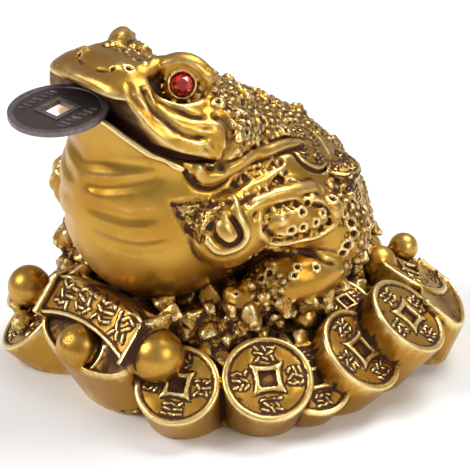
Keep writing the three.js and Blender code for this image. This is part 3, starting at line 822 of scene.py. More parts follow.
    def net(self):
        """The surface as four-sided faces, with a corner in each cell that it crosses."""
        inside = self.distance < 0
        mixed = np.zeros(self.size - 1, bool)
        first = inside[:-1, :-1, :-1]
        for dx, dy, dz in np.ndindex(2, 2, 2):
            corner = inside[dx : dx + mixed.shape[0], dy : dy + mixed.shape[1], dz : dz + mixed.shape[2]]
            mixed |= corner != first
        cells = np.argwhere(mixed)
        number = np.full(mixed.shape, -1, np.int32)
        number[mixed] = np.arange(len(cells))
        total = np.zeros((len(cells), 3), np.float32)
        count = np.zeros(len(cells), np.float32)
        for axis in range(3):
            others = [i for i in range(3) if i != axis]
            for da, db in np.ndindex(2, 2):
                start = np.zeros(3, int)
                start[others[0]] = da
                start[others[1]] = db
                end = start.copy()
                end[axis] = 1
                here = self.distance[tuple((cells + start).T)]
                there = self.distance[tuple((cells + end).T)]
                crossed = (here < 0) != (there < 0)
                share = here[crossed] / (here[crossed] - there[crossed])
                spots = np.tile(start.astype(np.float32), (len(share), 1))
                spots[:, axis] = share
                total[crossed] += spots
                count[crossed] += 1
        corners = self.low + self.step * (cells + total / count[:, None])
        faces = []
        for axis in range(3):
            here = [slice(1, -1)] * 3
            there = [slice(1, -1)] * 3
            here[axis] = slice(0, -1)
            there[axis] = slice(1, None)
            leaves = inside[tuple(here)] & ~inside[tuple(there)]
            enters = ~inside[tuple(here)] & inside[tuple(there)]
            for crossing, order in ((leaves, (0, 1, 2, 3)), (enters, (3, 2, 1, 0))):
                edges = np.argwhere(crossing) + 1
                edges[:, axis] -= 1
                ring = []
                for da, db in ((-1, -1), (0, -1), (0, 0), (-1, 0)):
                    cell = edges.copy()
                    cell[:, (axis + 1) % 3] += da
                    cell[:, (axis + 2) % 3] += db
                    ring.append(number[tuple(cell.T)])
                faces.append(np.column_stack([ring[i] for i in order]))
        return corners, np.vstack(faces)


def on_side(side, shift, points):
    """Places of the left half, taken to a side."""
    points = np.array(points, float) + shift
    points[..., 0] *= side
    return points


def toad_forms(clay):
    """Head, trunk, arms and toes, before their relief."""
    for mass in BODY_MASSES:
        clay.masses([mass], mass[-1])
    clay.add(*clay.chain(smooth_line(UPPER_LIP, 3), UPPER_LIP_RADII, 3, fold=True), 2)
    clay.add(*clay.chain(smooth_line(LOWER_LIP, 3), LOWER_LIP_RADII, 3, fold=True), 0.8)
    for side, arm, forearm in SIDES:
        clay.masses(ARM_MASSES, LIMB_BLEND, side, arm)
        clay.masses(FOREARM_MASSES, LIMB_BLEND, side, forearm)
        for toe in TOES:
            clay.add(*clay.chain(smooth_line(on_side(side, forearm, toe), 3), TOE_RADII), 0.8)


def mouth(clay, coin):
    """The gap between the lips, cut in as far as the mouth is deep, and the slot for the coin."""
    y = [corner[0] for corner in MOUTH_GAP]
    z = [corner[1] for corner in MOUTH_GAP]
    slices, axes = clay.window((-26, min(y), min(z) - 1), (26, max(y) + 1, max(z) + 1))
    wedge = polygon(axes[1], axes[2], MOUTH_GAP)
    depth = np.interp(axes[1], *zip(*MOUTH_DEPTHS)).astype(np.float32)
    core = clay.distance[slices] + depth
    clay.cut(slices, np.maximum(wedge, -core), 0.8)
    radius = coin.diameter / 2 / MM + SLOT_GAP
    centre = np.array(middle_of("mouth_coin")) / MM
    slices, u, v, h = clay.facing_window(centre, MOUTH_COIN_WAY, radius + 1)
    slot = np.maximum(np.hypot(u, v) - radius, np.abs(h) - coin.thickness / 2 / MM - SLOT_GAP)
    clay.cut(slices, slot, 0.3)


def stone_back(node, way, stones):
    """The middle of a stone's flat back, in millimetres."""
    return np.array(middle_of(node)) / MM - unit(way) * stones.height / 2 / MM


def eyes(clay, stones):
    """An almond hollow under each brow, with a rounded eyeball in it and a ringed seat for the stone."""
    rng = np.random.default_rng(5)
    for side, node in ((1, "left_eye_stone"), (-1, "right_eye_stone")):
        way = on_side(side, 0, EYE_WAY)
        at = stone_back(node, way, stones)
        slices, u, v, h = clay.facing_window(at, way, 9)
        roll = side * math.radians(EYE_ROLL)
        along = side * (u * math.cos(roll) + v * math.sin(roll)) - EYELID_SHIFT
        across = v * math.cos(roll) - u * math.sin(roll)
        bend = (EYELID_LENGTH**2 + EYELID_HEIGHT**2) / (4 * EYELID_HEIGHT)
        reach = bend - EYELID_HEIGHT / 2
        almond = np.maximum(np.hypot(along, across - reach), np.hypot(along, across + reach)) - bend
        clay.cut(slices, np.maximum(almond, -EYE_FLOOR - h), 0.7)
        eyeball = np.sqrt(u * u + v * v + (h + EYEBALL_RADIUS - EYEBALL_TOP) ** 2) - EYEBALL_RADIUS
        clay.add(slices, eyeball, 0.3)
        outwards = np.hypot(u, v)
        radius = stones.diameter / 2 / MM
        clay.cut(slices, np.hypot(outwards - radius - SEAT_GROOVE, h) - 0.35, 0.2)
        clay.add(slices, np.hypot(outwards - radius - SEAT_RING, h - 0.3) - 0.3, 0.15)
        clay.cut(slices, np.maximum(outwards - radius - SEAT_GAP, -0.25 - h), 0.2)
        for turn in rng.uniform(0, 2 * math.pi, SEAT_BEADS):
            reach = radius + rng.uniform(1.1, 2)
            seat = (reach * math.cos(turn), reach * math.sin(turn), -0.4)
            clay.bead(at + facing(way) @ seat, rng.uniform(0.3, 0.5), 0.15)


def hide_relief(clay):
    """Rolls, creases, beads and pits of the hide."""
    rng = np.random.default_rng(3)
    for side in (1, -1):
        for number, at in reversed(list(enumerate(BACK_COINS))):
            back_coin(clay, on_side(side, 0, at), 20 + number)
    for side, arm, forearm in SIDES:
        for rolls, shift in ((BODY_ROLLS, STILL), (ARM_ROLLS, arm)):
            for line, radius, rise, groove in rolls:
                if groove:
                    clay.flank(on_side(side, shift, line), radius, groove)
                clay.roll(on_side(side, shift, line), radius, rise)
        for bumps, shift in ((BODY_BUMPS, STILL), (ARM_BUMPS, arm), (FOREARM_BUMPS, forearm)):
            for place, rise in bumps:
                settled = clay.settle([on_side(side, shift, place)])
                clay.bead((settled - clay.slope(settled) * 0.5 * rise)[0], 1.5 * rise, 1)
        for creases, shift in ((BODY_CREASES, STILL), (ARM_CREASES, arm)):
            for line, radius, depth in creases:
                clay.crease(on_side(side, shift, line), radius, depth)
        groove = np.array(SHIELD_MIDDLE) + SHIELD_GROOVE_SHARE * (np.array(SHIELD) - SHIELD_MIDDLE)
        clay.crease(on_side(side, arm, groove), 0.5, 0.55)
        for lines, shift in ((BODY_BEAD_LINES, STILL), (ARM_BEAD_LINES, arm)):
            for line, width, depth in lines:
                bead_line(clay, on_side(side, shift, line), width, depth, rng)
    hide_grain(clay)
    for side, arm, forearm in SIDES:
        for pits, shift in ((NECK_PITS, STILL), (ARM_PITS, arm), (FOREARM_PITS, forearm)):
            for place, radius in pits:
                lipped_pit(clay, on_side(side, shift, place), radius)


def granules(clay, places, size, rng):
    """Small beads with a few pits among them, as on a toad's back."""
    ways = clay.slope(places)
    for place, way in zip(places, ways):
        radius = size * rng.uniform(0.7, 1.25)
        if rng.random() < PIT_SHARE:
            clay.pit(place + 0.35 * radius * way, 0.8 * radius)
        else:
            clay.bead(place - 0.25 * radius * way, radius)


def strewn(clay, low, high, keep, grain, rng):
    """Random places on the surface, none nearer to another than the grain's spacing."""
    spacing, count = grain
    places = clay.settle(rng.uniform(low, high, (count, 3)))
    places = places[(np.abs(clay.read(places)) < 0.3) & keep(places)]
    taken = {}
    chosen = []
    for place in places:
        i, j, k = np.floor(place / spacing).astype(int)
        near = (taken.get((i + di, j + dj, k + dk)) for di, dj, dk in product((-1, 0, 1), repeat=3))
        if all(other is None or ((place - other) ** 2).sum() > spacing**2 for other in near):
            taken[i, j, k] = place
            chosen.append(place)
    return np.array(chosen)


def bead_line(clay, line, width, depth, rng):
    """A groove filled with beads."""
    line = clay.settle(smooth_line(line))
    clay.cut(*clay.chain(line + clay.slope(line) * (width - depth), width), 0.4)
    count = max(4, int(np.linalg.norm(np.diff(line, axis=0), axis=1).sum() / 0.3))
    share = np.linspace(0, len(line) - 1, count)
    places = np.column_stack([np.interp(share, np.arange(len(line)), line[:, i]) for i in range(3)])
    places += rng.uniform(-0.45, 0.45, places.shape) * width
    places = clay.settle(places)
    for place in places:
        clay.bead(place, rng.uniform(0.38, 0.58), 0.1)


def lipped_pit(clay, place, radius):
    """A round pit with a raised lip."""
    place = clay.settle([place])[0]
    way = clay.slope([place])[0]
    slices, u, v, h = clay.facing_window(place, way, 3 * radius + 1)
    across = np.hypot(u, v)
    clay.add(slices, np.hypot(across - 1.45 * radius, h) - 0.35, 0.4)
    clay.cut(slices, np.sqrt(across**2 + (h - 0.3 * radius) ** 2) - 1.1 * radius, 0.15)


def back_coin(clay, at, seed):
    """A coin laid on the flank."""
    at = clay.settle([at])[0]
    way = clay.slope([at])[0]
    radius = BACK_COIN_DIAMETER / 2
    slices, u, v, h = clay.facing_window(at, way, radius + 2)
    across = np.hypot(u, v)

    def face(u, v):
        return back_coin_face(u, v, radius, np.random.default_rng(seed))

    clay.printed.append((at, facing(way), radius + 0.3, (-2.5, 1.5), face))
    bend = BACK_COIN_BEND * across**2
    coin = -melt(-np.maximum(h - BACK_COIN_RISE - face(u, v)[0] + bend, -h - 3), radius - across, 0.4)
    clay.cut(slices, np.hypot(across - radius - 0.2, h + bend) - 0.4, 0.2)
    clay.add(slices, coin, 0.1)


def in_wedge(places, side):
    """Whether places are in the beaded wedge under the jaw on a side."""
    corners = on_side(side, 0, BEADED_WEDGE)
    middle = corners.mean(0)
    columns = facing(np.linalg.svd(corners - middle)[2][2])
    flat = [tuple(corner) for corner in ((corners - middle) @ columns)[:, :2]]
    local = (places - middle) @ columns
    return (polygon(local[:, 0], local[:, 1], flat) < 0) & (np.abs(local[:, 2]) < 4)


def wave(places):
    """A gentle wave from place to place, for the edges of grainy patches."""
    x, y, z = np.asarray(places).T
    return np.sin(1.1 * x + 0.8 * z) + 0.8 * np.sin(0.9 * y - 1.3 * z)


def clear_of(places, line, reach):
    """Whether places are farther than the reach from a line of the left half or its mirror image."""
    folded = np.column_stack([np.abs(places[:, 0]), places[:, 1:]])
    nearest = np.min([((folded - spot) ** 2).sum(1) for spot in smooth_line(line)], axis=0)
    return nearest > reach**2


def on_back(places):
    """Whether places are on the grainy hide of the neck, the back and the flanks."""
    x, y, z = np.abs(places[:, 0]), places[:, 1], places[:, 2]
    above_ridge = z > np.interp(y, [-8, 0, 6, 8], [56.2, 54, 48, 27])
    on_crown = (x < 8 + 0.5 * wave(places)) & (y > -30) & (z > 71.5)
    behind_head = (y > -19) | on_crown
    behind_cheek = (x < 19) | (y > -19.6)
    hide = above_ridge & behind_head & behind_cheek & (z > 27) & clear_of(places, JAW_RIDGE, 2.2)
    for at in BACK_COINS:
        hide &= clear_of(places, [at, at], BACK_COIN_DIAMETER / 2 + 0.5)
    return hide


def on_elbow(places, side, arm):
    """Whether places are on the grainy hide of an elbow."""
    own = places * (side, 1, 1) - arm
    x, y, z = own.T
    return (y + wave(own) > 4) & (x > 24) & (z < 46 + wave(own)) & (z > 28)


def on_hand(places, side, forearm):
    """Whether places are on the grainy hide of a wrist or hand."""
    own = places * (side, 1, 1) - forearm
    x, y, z = own.T
    wrist = (y < -10 + wave(own)) & (y > -16.5) & (z > 21.5)
    under = z < 25 + 0.8 * wave(own)
    return (wrist | under) & (x > 16) & (z > 19) & (z < 33.5) & is_bare(places)


def is_bare(places):
    """Whether places are clear of the heap's coins, ingots and pearls."""
    bare = np.ones(len(places), bool)
    stacks = [(HEAP_COINS, HEAP_COIN_DIAMETER, -24, 1.2), (INGOTS, INGOT_LENGTH, -12, 4)]
    for things, width, back, front in stacks:
        for at, bearing, tilt, size in things:
            u, v, h = ((places - at) @ facing(lean(bearing, tilt))).T
            bare &= (np.hypot(u, v) > size * width / 2 + 0.8) | (h < back) | (h > front)
    for centre, radius in PEARLS:
        bare &= np.linalg.norm(places - centre, axis=1) > radius + 0.6
    return bare


def on_ground(places):
    """Whether places are on the ground of the heap."""
    return (places[:, 2] > 0.5) & (places[:, 2] < 25) & is_bare(places)


def on_top(places):
    """Whether places are on the ground near the top of the heap."""
    near_middle = np.hypot(places[:, 0], places[:, 1]) < 36
    return on_ground(places) & (places[:, 2] > 12.5) & near_middle


def hide_grain(clay):
    """Granules on the back, the flanks, the elbows and the hands, and beads in the wedges."""
    rng = np.random.default_rng(7)
    places = strewn(clay, (-28, -32, 27), (28, 38, 75), on_back, BACK_GRAIN, rng)
    granules(clay, places, BACK_GRANULE, rng)
    for side, arm, forearm in SIDES:
        low, high = sorted((side * 20, side * 36))
        here = partial(on_elbow, side=side, arm=arm)
        places = strewn(clay, (low, 0, 22), (high, 18, 50), here, ELBOW_GRAIN, rng)
        granules(clay, places, ELBOW_GRANULE, rng)
        here = partial(on_hand, side=side, forearm=forearm)
        places = strewn(clay, (low - 10, -32, 12), (high + 4, 12, 34), here, HAND_GRAIN, rng)
        granules(clay, places, HAND_GRANULE, rng)
        corners = on_side(side, 0, BEADED_WEDGE)
        here = partial(in_wedge, side=side)
        places = strewn(clay, corners.min(0) - 1, corners.max(0) + 1, here, WEDGE_GRAIN, rng)
        ways = clay.slope(places)
        for place in places:
            clay.pit(place, 0.55, 0.1)
        for place, way in zip(places, ways):
            clay.bead(place - 0.2 * way, rng.uniform(0.3, 0.45), 0.1)
        for a, b in zip(corners, np.roll(corners, -1, axis=0)):
            clay.crease(np.linspace(a, b, 4), 0.45, 0.45)
            clay.roll(np.linspace(a, b, 4), 0.45, 0.2, 0.3)


def nugget(clay, at, size, rng):
    """A rough lump with flat faces."""
    ways = rng.normal(size=(11, 3))
    ways /= np.linalg.norm(ways, axis=1, keepdims=True)
    slices, axes = clay.around(at, 1.2 * size)
    moved = [axis - float(origin) for axis, origin in zip(axes, at)]
    lump = np.float32(-FAR)
    for way in ways:
        face = sum(np.float32(way[i]) * moved[i] for i in range(3)) - size * rng.uniform(0.38, 0.62)
        lump = -melt(-lump, -face, 0.12 * size) if np.ndim(lump) else face
    lump = np.maximum(lump, np.sqrt(sum(m * m for m in moved)) - 0.8 * size)
    clay.add(slices, lump, 0.15)


def rubble(clay):
    """Nuggets in their places, and small lumps and granules strewn over the ground of the heap."""
    rng = np.random.default_rng(11)
    for at, size in NUGGETS:
        nugget(clay, at, 0.75 * size, rng)
    for place in strewn(clay, (-38, -38, 12), (38, 38, 25), on_top, HEAP_LUMPS, rng):
        nugget(clay, place, rng.uniform(2.6, 4.2), rng)
    places = strewn(clay, (-42, -42, 2), (42, 42, 25), on_ground, HEAP_GRAIN, rng)
    granules(clay, places, HEAP_GRANULE, rng)


def heap(clay):
    """The treasure under the toad: mound and banks, coins, pearls, ingots and rubble."""
    slices, axes = clay.window((-40, -40, -3), (40, 40, 22))
    outline = MOUND + [(-radius, height) for radius, height in reversed(MOUND)]
    clay.add(slices, polygon(np.hypot(axes[0], axes[1]), axes[2], outline), 0.5)
    for centre, radii in BANKS:
        slices, axes = clay.around(centre, 9)
        clay.add(slices, ellipsoid(axes, centre, radii, np.eye(3)), 1)
    for number, (at, bearing, tilt, size) in enumerate(HEAP_COINS):
        heap_coin(clay, at, lean(bearing, tilt), size * HEAP_COIN_DIAMETER / 2, number)
    for at, radius in PEARLS:
        slices, axes = clay.around(at, radius + 2)
        clay.add(slices, ball(axes, at, radius), 0.3)
    for number, (at, bearing, tilt, size) in enumerate(INGOTS):
        ingot(clay, at, lean(bearing, tilt), size, number < 2, number == 0)
    rubble(clay)


def stroke_block(rng, centre, width, height):
    """A block of slanted strokes in rows, none of them a letter: the ends of each stroke."""
    strokes = []
    for row in range(BLOCK_ROWS):
        columns = 3 - row % 2
        for column in range(columns):
            u = centre[0] + width * ((column + 0.5) / columns - 0.5)
            v = centre[1] + height * ((row + 0.5) / BLOCK_ROWS - 0.5)
            angle = rng.choice(STROKE_SLANTS) + rng.uniform(-0.2, 0.2)
            half = 0.45 * width / columns
            du = half * math.cos(angle)
            dv = 0.45 * height / BLOCK_ROWS * math.sin(angle)
            strokes.append(((u - du, v - dv), (u + du, v + dv)))
    return strokes


def edge_line(distance, width=0.2):
    """A dark line along an outline: 1 on it and 0 beside it."""
    return raised(np.abs(distance) - width / 2, 1, 0.3)


def inscribed(u, v, relief, lines, blocks, width, height):
    """A face with blocks of raised strokes on it: its relief, and its dark sunk lines."""
    for strokes in blocks:
        over = 0
        for start, end in strokes:
            stroke = bar(u, v, start, end, width)
            over = np.maximum(over, raised(stroke, height, 0.3))
            lines = np.maximum(lines, edge_line(stroke - 0.2))
        relief += over
    return relief - LINE_DEPTH * lines, lines


def coin_face(u, v, radius, rng):
    """A heap coin's face: its relief, and the dark lines along its rim, frame, pit and strokes."""
    scale = radius / (HEAP_COIN_DIAMETER / 2)
    across = np.hypot(u, v)
    rim = radius - HEAP_COIN_RIM * scale
    flat = np.maximum(np.abs(u), np.abs(v))
    slant = np.minimum(np.abs(u), np.abs(v))
    side = HEAP_COIN_FRAME * scale
    border = flat - side + 0.8 * scale * (1 - np.minimum(slant / side, 1) ** 2)
    pit = flat - HEAP_COIN_PIT * scale
    relief = raised(across - rim, -0.35 * scale) + raised(np.maximum(border, -pit), 0.5 * scale)
    relief -= raised(pit, 0.6 * scale)
    lines = np.maximum(edge_line(across - rim + 0.2), edge_line(border - 0.15))
    lines = np.maximum(lines, edge_line(pit + 0.15))
    short, long = (size * scale for size in HEAP_COIN_BLOCK)
    out = HEAP_COIN_BLOCK_AT * scale
    blocks = []
    for turn in range(4):
        angle = turn * math.pi / 2
        centre = (out * math.cos(angle), out * math.sin(angle))
        size = (long, short) if turn % 2 else (short, long)
        blocks.append(stroke_block(rng, centre, *size))
    return inscribed(u, v, relief, lines, blocks, 0.42 * scale, 0.45 * scale)


def back_coin_face(u, v, radius, rng):
    """A flank coin's face: a flat rim, a small framed pit and a few bold strokes."""
    across = np.hypot(u, v)
    frame_edge = np.maximum(np.abs(u), np.abs(v)) - BACK_COIN_FRAME
    lines = np.maximum(edge_line(across - radius + 1.1), edge_line(across - radius + 0.1))
    lines = np.maximum(lines, edge_line(frame_edge))
    relief = raised(across - radius + BACK_COIN_RIM, -0.2)
    blocks = []
    for turn in range(4):
        angle = turn * math.pi / 2 + rng.uniform(-0.2, 0.2)
        centre = (BACK_COIN_BLOCK_AT * math.cos(angle), BACK_COIN_BLOCK_AT * math.sin(angle))
        blocks.append(stroke_block(rng, centre, *BACK_COIN_BLOCK))
    return inscribed(u, v, relief, lines, blocks, 0.45, 0.4)


def band_edge(x, y):
    """The distance to the outline of the ingot's curved band, less than nothing inside it."""
    half = INGOT_LENGTH / 2
    share = np.clip((x + half) / (2 * half), 0, 1)
    bow = 2 * share * (1 - share)
    low = -0.8 + 6.4 * bow
    high = 8.5 + 7 * bow
    return np.maximum(np.maximum(low - y, y - high), np.abs(x) - half)


def band_face(x, y):
    """The band's relief: a raised edge, a line inside it and four blocks of strokes."""
    rng = np.random.default_rng(40)
    edge = band_edge(x, y)
    relief = raised(np.abs(edge + 0.5) - 0.35, 0.4)
    lines = np.maximum(edge_line(edge + 1.1), edge_line(edge))
    half = INGOT_LENGTH / 2
    blocks = []
    for block in range(4):
        u = (block - 1.5) * BAND_PITCH
        share = (u + half) / (2 * half)
        v = 3.85 + 13.4 * share * (1 - share)
        blocks.append(stroke_block(rng, (u, v), *BAND_BLOCK))
    return inscribed(x, y, relief, lines, blocks, 0.6, 0.55)


def heap_coin(clay, at, way, radius, seed):
    """A coin of the heap, with its edge run back into the heap."""
    columns = facing(way)
    at = np.array(at, float)
    foot = at - HEAP_COIN_REACH * columns[:, 2]
    low = np.minimum(at, foot) - radius - 1
    high = np.maximum(at, foot) + radius + 1
    slices, axes = clay.window(low, high)
    u, v, h = in_frame(axes, at, columns)
    across = np.hypot(u, v)

    def face(u, v):
        return coin_face(u, v, radius, np.random.default_rng(seed))

    clay.printed.append((at, columns, radius, (-1.5, 1.1), face))
    edge = across - radius * (1 + 0.1 * np.minimum(h, 0) / HEAP_COIN_REACH)
    coin = -melt(-np.maximum(h - face(u, v)[0], -h - HEAP_COIN_REACH), -edge, 0.6)
    clay.add(slices, coin, 0.2)


def ingot(clay, at, way, size, dome=True, banded=True):
    """A boat that leans back, with a dome in its bowl and a curved band with strokes across it."""
    columns = facing(way)
    at = np.array(at, float)
    half = INGOT_LENGTH / 2
    reach = size * INGOT_REACH
    middle = at - reach / 2 * columns[:, 2] - 0.2 * reach * columns[:, 1]
    slices, axes = clay.around(middle, 0.75 * reach)
    x, y, z = (axis / size for axis in in_frame(axes, at, columns))
    depth = np.maximum(-z, 0)
    hull_x = x / (1 - 0.02 * depth)
    hull_y = y + 0.38 * depth

    def boat(u, v, half, keel):
        k0 = np.hypot(u / half, v / keel)
        k1 = np.hypot(u / half**2, v / keel**2)
        below = k0 * (k0 - 1) / np.maximum(k1, 1e-6)
        return np.where(v < 0, below, np.abs(u) - half)

    hull = np.maximum(boat(hull_x, hull_y - 0.2, half, 6.7), hull_y - 12)
    hull = -melt(-hull, -np.maximum(z, -z - INGOT_REACH), 1)
    from_dome = np.hypot(x + 1, y + 2)
    ridge = np.where(y < 1, raised(np.abs(from_dome - 6.1) - 0.3, 0.6), 0) if dome else 0
    bowl = np.maximum(boat(x, y - 0.2, half - 1.3, 5.4), -1.4 + ridge - z)
    whole = -melt(-hull, bowl, 0.5)
    if dome:
        whole = np.minimum(whole, np.hypot(from_dome, z + 0.6) - 5)
    if not banded:
        clay.add(slices, whole * size, 0.3)
        return
    clay.printed.append((at, columns / size, 1.3 * half, (0.6, 4.5), band_face))
    top = 2.4 - 0.004 * x * x
    band = np.maximum(np.maximum(band_edge(x, y), z - top - band_face(x, y)[0]), -4 - z)
    whole = melt(whole, band, 0.3)
    side = polygon(z, y, [(-4, -0.8), (3.1, -0.8), (3.1, 13.3), (-4, 13.3)])
    walls = np.maximum(side, np.abs(np.abs(x) - half + 0.65) - 0.65)
    whole = melt(whole, walls, 0.3)
    clay.add(slices, whole * size, 0.3)


def cast(clay, name):
    """The clay's surface as a smooth mesh, thinned to the triangles that the casting may have."""
    corners, faces = clay.net()
    mesh = bpy.data.meshes.new(name)
    mesh.vertices.add(len(corners))
    mesh.vertices.foreach_set("co", (corners * MM).astype(np.float32).ravel())
    mesh.loops.add(4 * len(faces))
    mesh.loops.foreach_set("vertex_index", faces.astype(np.int32).ravel())
    mesh.polygons.add(len(faces))
    mesh.polygons.foreach_set("loop_start", np.arange(0, 4 * len(faces), 4, dtype=np.int32))
    mesh.update(calc_edges=True)
    mesh.validate()
    piece = bpy.data.objects.new(name, mesh)
    bpy.context.scene.collection.objects.link(piece)
    ready_to_add()
    bpy.context.view_layer.objects.active = piece
    piece.select_set(True)
    bpy.ops.object.shade_smooth()
    thin = piece.modifiers.new("thin", "DECIMATE")
    thin.ratio = CASTING_TRIANGLES / (2 * len(faces))
    bpy.ops.object.modifier_apply(modifier=thin.name)
    return piece


def mark_casting(piece, clay):
    """Stores how hollow, raised and grainy the casting is at each of its points, for its paint, and where
    painted shade goes: the broad hollows and the inside of the mouth gap.
    """
    spots = np.empty(3 * len(piece.data.vertices), np.float32)
    piece.data.vertices.foreach_get("co", spots)
    spots = spots.reshape(-1, 3) / MM
    near = clay.bulge(spots, NEAR_REACH)
    broad = clay.bulge(spots, BROAD_REACH)
    grain = on_back(spots) | on_ground(spots)
    for side, arm, forearm in SIDES:
        grain |= in_wedge(spots, side) | on_elbow(spots, side, arm) | on_hand(spots, side, forearm)
    store(piece, "hollow", np.clip(-near, 0, 1))
    store(piece, "crest", np.clip(near, 0, 1))
    # deep: how far the broad hollows sink; the paint darkens them partly as patina and partly as painted
    # shade.
    store(piece, "deep", np.clip(-broad, 0, 1))
    store(piece, "grain", grain)
    lines = np.zeros(len(spots))
    for at, columns, reach, (low, high), face in clay.printed:
        u, v, h = ((spots - at) @ columns).T
        near = (np.hypot(u, v) < reach) & (h > low) & (h < high)
        lines[near] = np.maximum(lines[near], face(u[near], v[near])[1])
    for centre, radius in PEARLS:
        lines[np.linalg.norm(spots - centre, axis=1) < radius + 0.4] = 0
    # Painted shade: the inside of the mouth gap is painted dark, carried in the same marks as the sunk
    # lines.
    lines = np.maximum(lines, 1.2 * raised(polygon(spots[:, 1], spots[:, 2], MOUTH_GAP), 1, 1.2))
    store(piece, "lines", lines)


class Finish:
    """A material's nodes, joined as they are made."""

    def __init__(self, name):
        self.material = bpy.data.materials.new(name)
        self.material.use_nodes = True
        self.tree = self.material.node_tree
        self.shader = self.tree.nodes["Principled BSDF"]

    def feed(self, socket, value):
        if isinstance(value, bpy.types.NodeSocket):
            self.tree.links.new(value, socket)
        else:
            socket.default_value = value

    def node(self, kind, inputs, **settings):
        made = self.tree.nodes.new(kind)
        for name, value in settings.items():
            setattr(made, name, value)
        for name, value in inputs.items():
            self.feed(made.inputs[name], value)
        return made

    def place(self):
        return self.node("ShaderNodeTexCoord", {}).outputs["Object"]

    def mark(self, name):
        """A number that was stored on the mesh."""
        return self.node("ShaderNodeAttribute", {}, attribute_name=name).outputs["Fac"]

    def noise(self, place, scale, detail, output="Fac"):
        inputs = {"Vector": place, "Scale": scale, "Detail": detail}
        return self.node("ShaderNodeTexNoise", inputs).outputs[output]

    def times(self, a, b):
        return self.node("ShaderNodeMath", {0: a, 1: b}, operation="MULTIPLY").outputs[0]

    def total(self, *parts):
        """The sum of some numbers, each times its share."""
        whole = 0.0
        for value, share in parts:
            inputs = {0: value, 1: share, 2: whole}
            whole = self.node("ShaderNodeMath", inputs, operation="MULTIPLY_ADD").outputs[0]
        return whole

    def ramp(self, value, low, high, start=0.0, end=1.0):
        inputs = {"Value": value, "From Min": low, "From Max": high, "To Min": start, "To Max": end}
        return self.node("ShaderNodeMapRange", inputs, interpolation_type="SMOOTHSTEP").outputs["Result"]

    def blend(self, share, a, b):
        """The first colour, with the second one over it by the share."""
        a, b = (value if isinstance(value, bpy.types.NodeSocket) else (*value, 1) for value in (a, b))
        return self.node("ShaderNodeMix", {0: share, 6: a, 7: b}, data_type="RGBA").outputs[2]

    def bump(self, height, strength, distance):
        inputs = {"Height": height, "Strength": strength, "Distance": distance}
        self.feed(self.shader.inputs["Normal"], self.node("ShaderNodeBump", inputs).outputs["Normal"])

    def surface(self, **inputs):
        """Sets the shader's sockets, named with underscores for spaces."""
        for name, value in inputs.items():
            if isinstance(value, (tuple, bpy.types.bpy_prop_array)) or type(value).__name__ == "Color":
                value = (*value, 1)
            self.feed(self.shader.inputs[name.replace("_", " ")], value)
        return self.material


def antiqued_gold_with_painted_shade(settings):
    """Gold paint, worn bright on what stands out, dark with patina in the fine hollows, and darkened with
    painted shade in the broad hollows and inside the mouth gap.
    """
    paint = Finish("antiqued_gold_with_painted_shade")
    place = paint.place()
    speckle = paint.noise(place, GOLD_SPECKLE, 2)
    mottle = paint.noise(place, GOLD_MOTTLE, 3)
    cloud = paint.noise(place, GOLD_CLOUD, 2)
    swirl = paint.noise(place, GOLD_SWIRL, 2, "Color")
    warp = {0: swirl, 1: (0.9 * settings.granule,) * 3, 2: place}
    warped = paint.node("ShaderNodeVectorMath", warp, operation="MULTIPLY_ADD").outputs[0]
    grain = paint.mark("grain")
    cells = {"Vector": warped, "Scale": 1 / settings.granule}
    seams = paint.node("ShaderNodeTexVoronoi", cells, feature="DISTANCE_TO_EDGE")
    beads = paint.node("ShaderNodeTexVoronoi", cells, feature="F1")
    seam = paint.ramp(seams.outputs["Distance"], 0.02, 0.2, 1, 0)
    between = paint.times(seam, grain)
    # Patina and painted shade: fine hollows, sunk lines and seams get patina; broad hollows get a wash
    # that is part patina and part painted shade; the inside of the mouth gap is painted shade.
    patina_and_painted_shade = paint.total(
        (paint.mark("hollow"), 3.2),
        # Broad hollows: part patina, part painted shade.
        (paint.mark("deep"), 0.7),
        (paint.mark("lines"), 1.0),
        (between, 0.4),
        (grain, 0.1),
        (mottle, 0.5),
        (speckle, 0.3),
    )
    patina_and_painted_shade = paint.ramp(patina_and_painted_shade, *PATINA_AND_SHADE_RANGE)
    wear = paint.total((paint.mark("crest"), 2.8), (mottle, 0.5), (speckle, 0.3))
    wear = paint.ramp(wear, *WEAR_RANGE)
    gold = paint.blend(paint.ramp(cloud, 0.3, 0.7), settings.gold, settings.gold_shade)
    gold = paint.blend(wear, gold, settings.worn_gold)
    colour = paint.blend(patina_and_painted_shade, gold, settings.patina)
    bead = paint.times(paint.ramp(beads.outputs["Distance"], 0, 0.6, 1, 0), grain)
    paint.bump(paint.total((bead, 0.6), (speckle, 0.12), (mottle, 0.2)), 0.5, 0.2 * MM)
    return paint.surface(
        Base_Color=colour,
        Metallic=paint.ramp(patina_and_painted_shade, 0, 1, 0.96, 0.85),
        Roughness=paint.total((patina_and_painted_shade, 0.25), (speckle, 0.1), (0.29, 1.0)),
    )


def gunmetal(settings):
    """Dark patinated metal, worn lighter where it stands out."""
    metal = Finish("gunmetal")
    place = metal.place()
    speckle = metal.noise(place, 1900, 4)
    mottle = metal.noise(place, 260, 3)
    worn = metal.ramp(metal.total((metal.mark("worn"), 0.8), (speckle, 0.55), (mottle, 0.35)), 0.55, 1.25)
    dark = metal.blend(mottle, settings.metal, settings.metal_stain)
    colour = metal.blend(worn, dark, settings.worn_metal)
    metal.bump(metal.total((speckle, 0.6), (mottle, 0.6)), 0.35, 0.08 * MM)
    return metal.surface(
        Base_Color=colour,
        Metallic=0.85,
        Roughness=metal.total((speckle, 0.25), (mottle, 0.15), (0.26, 1.0)),
    )


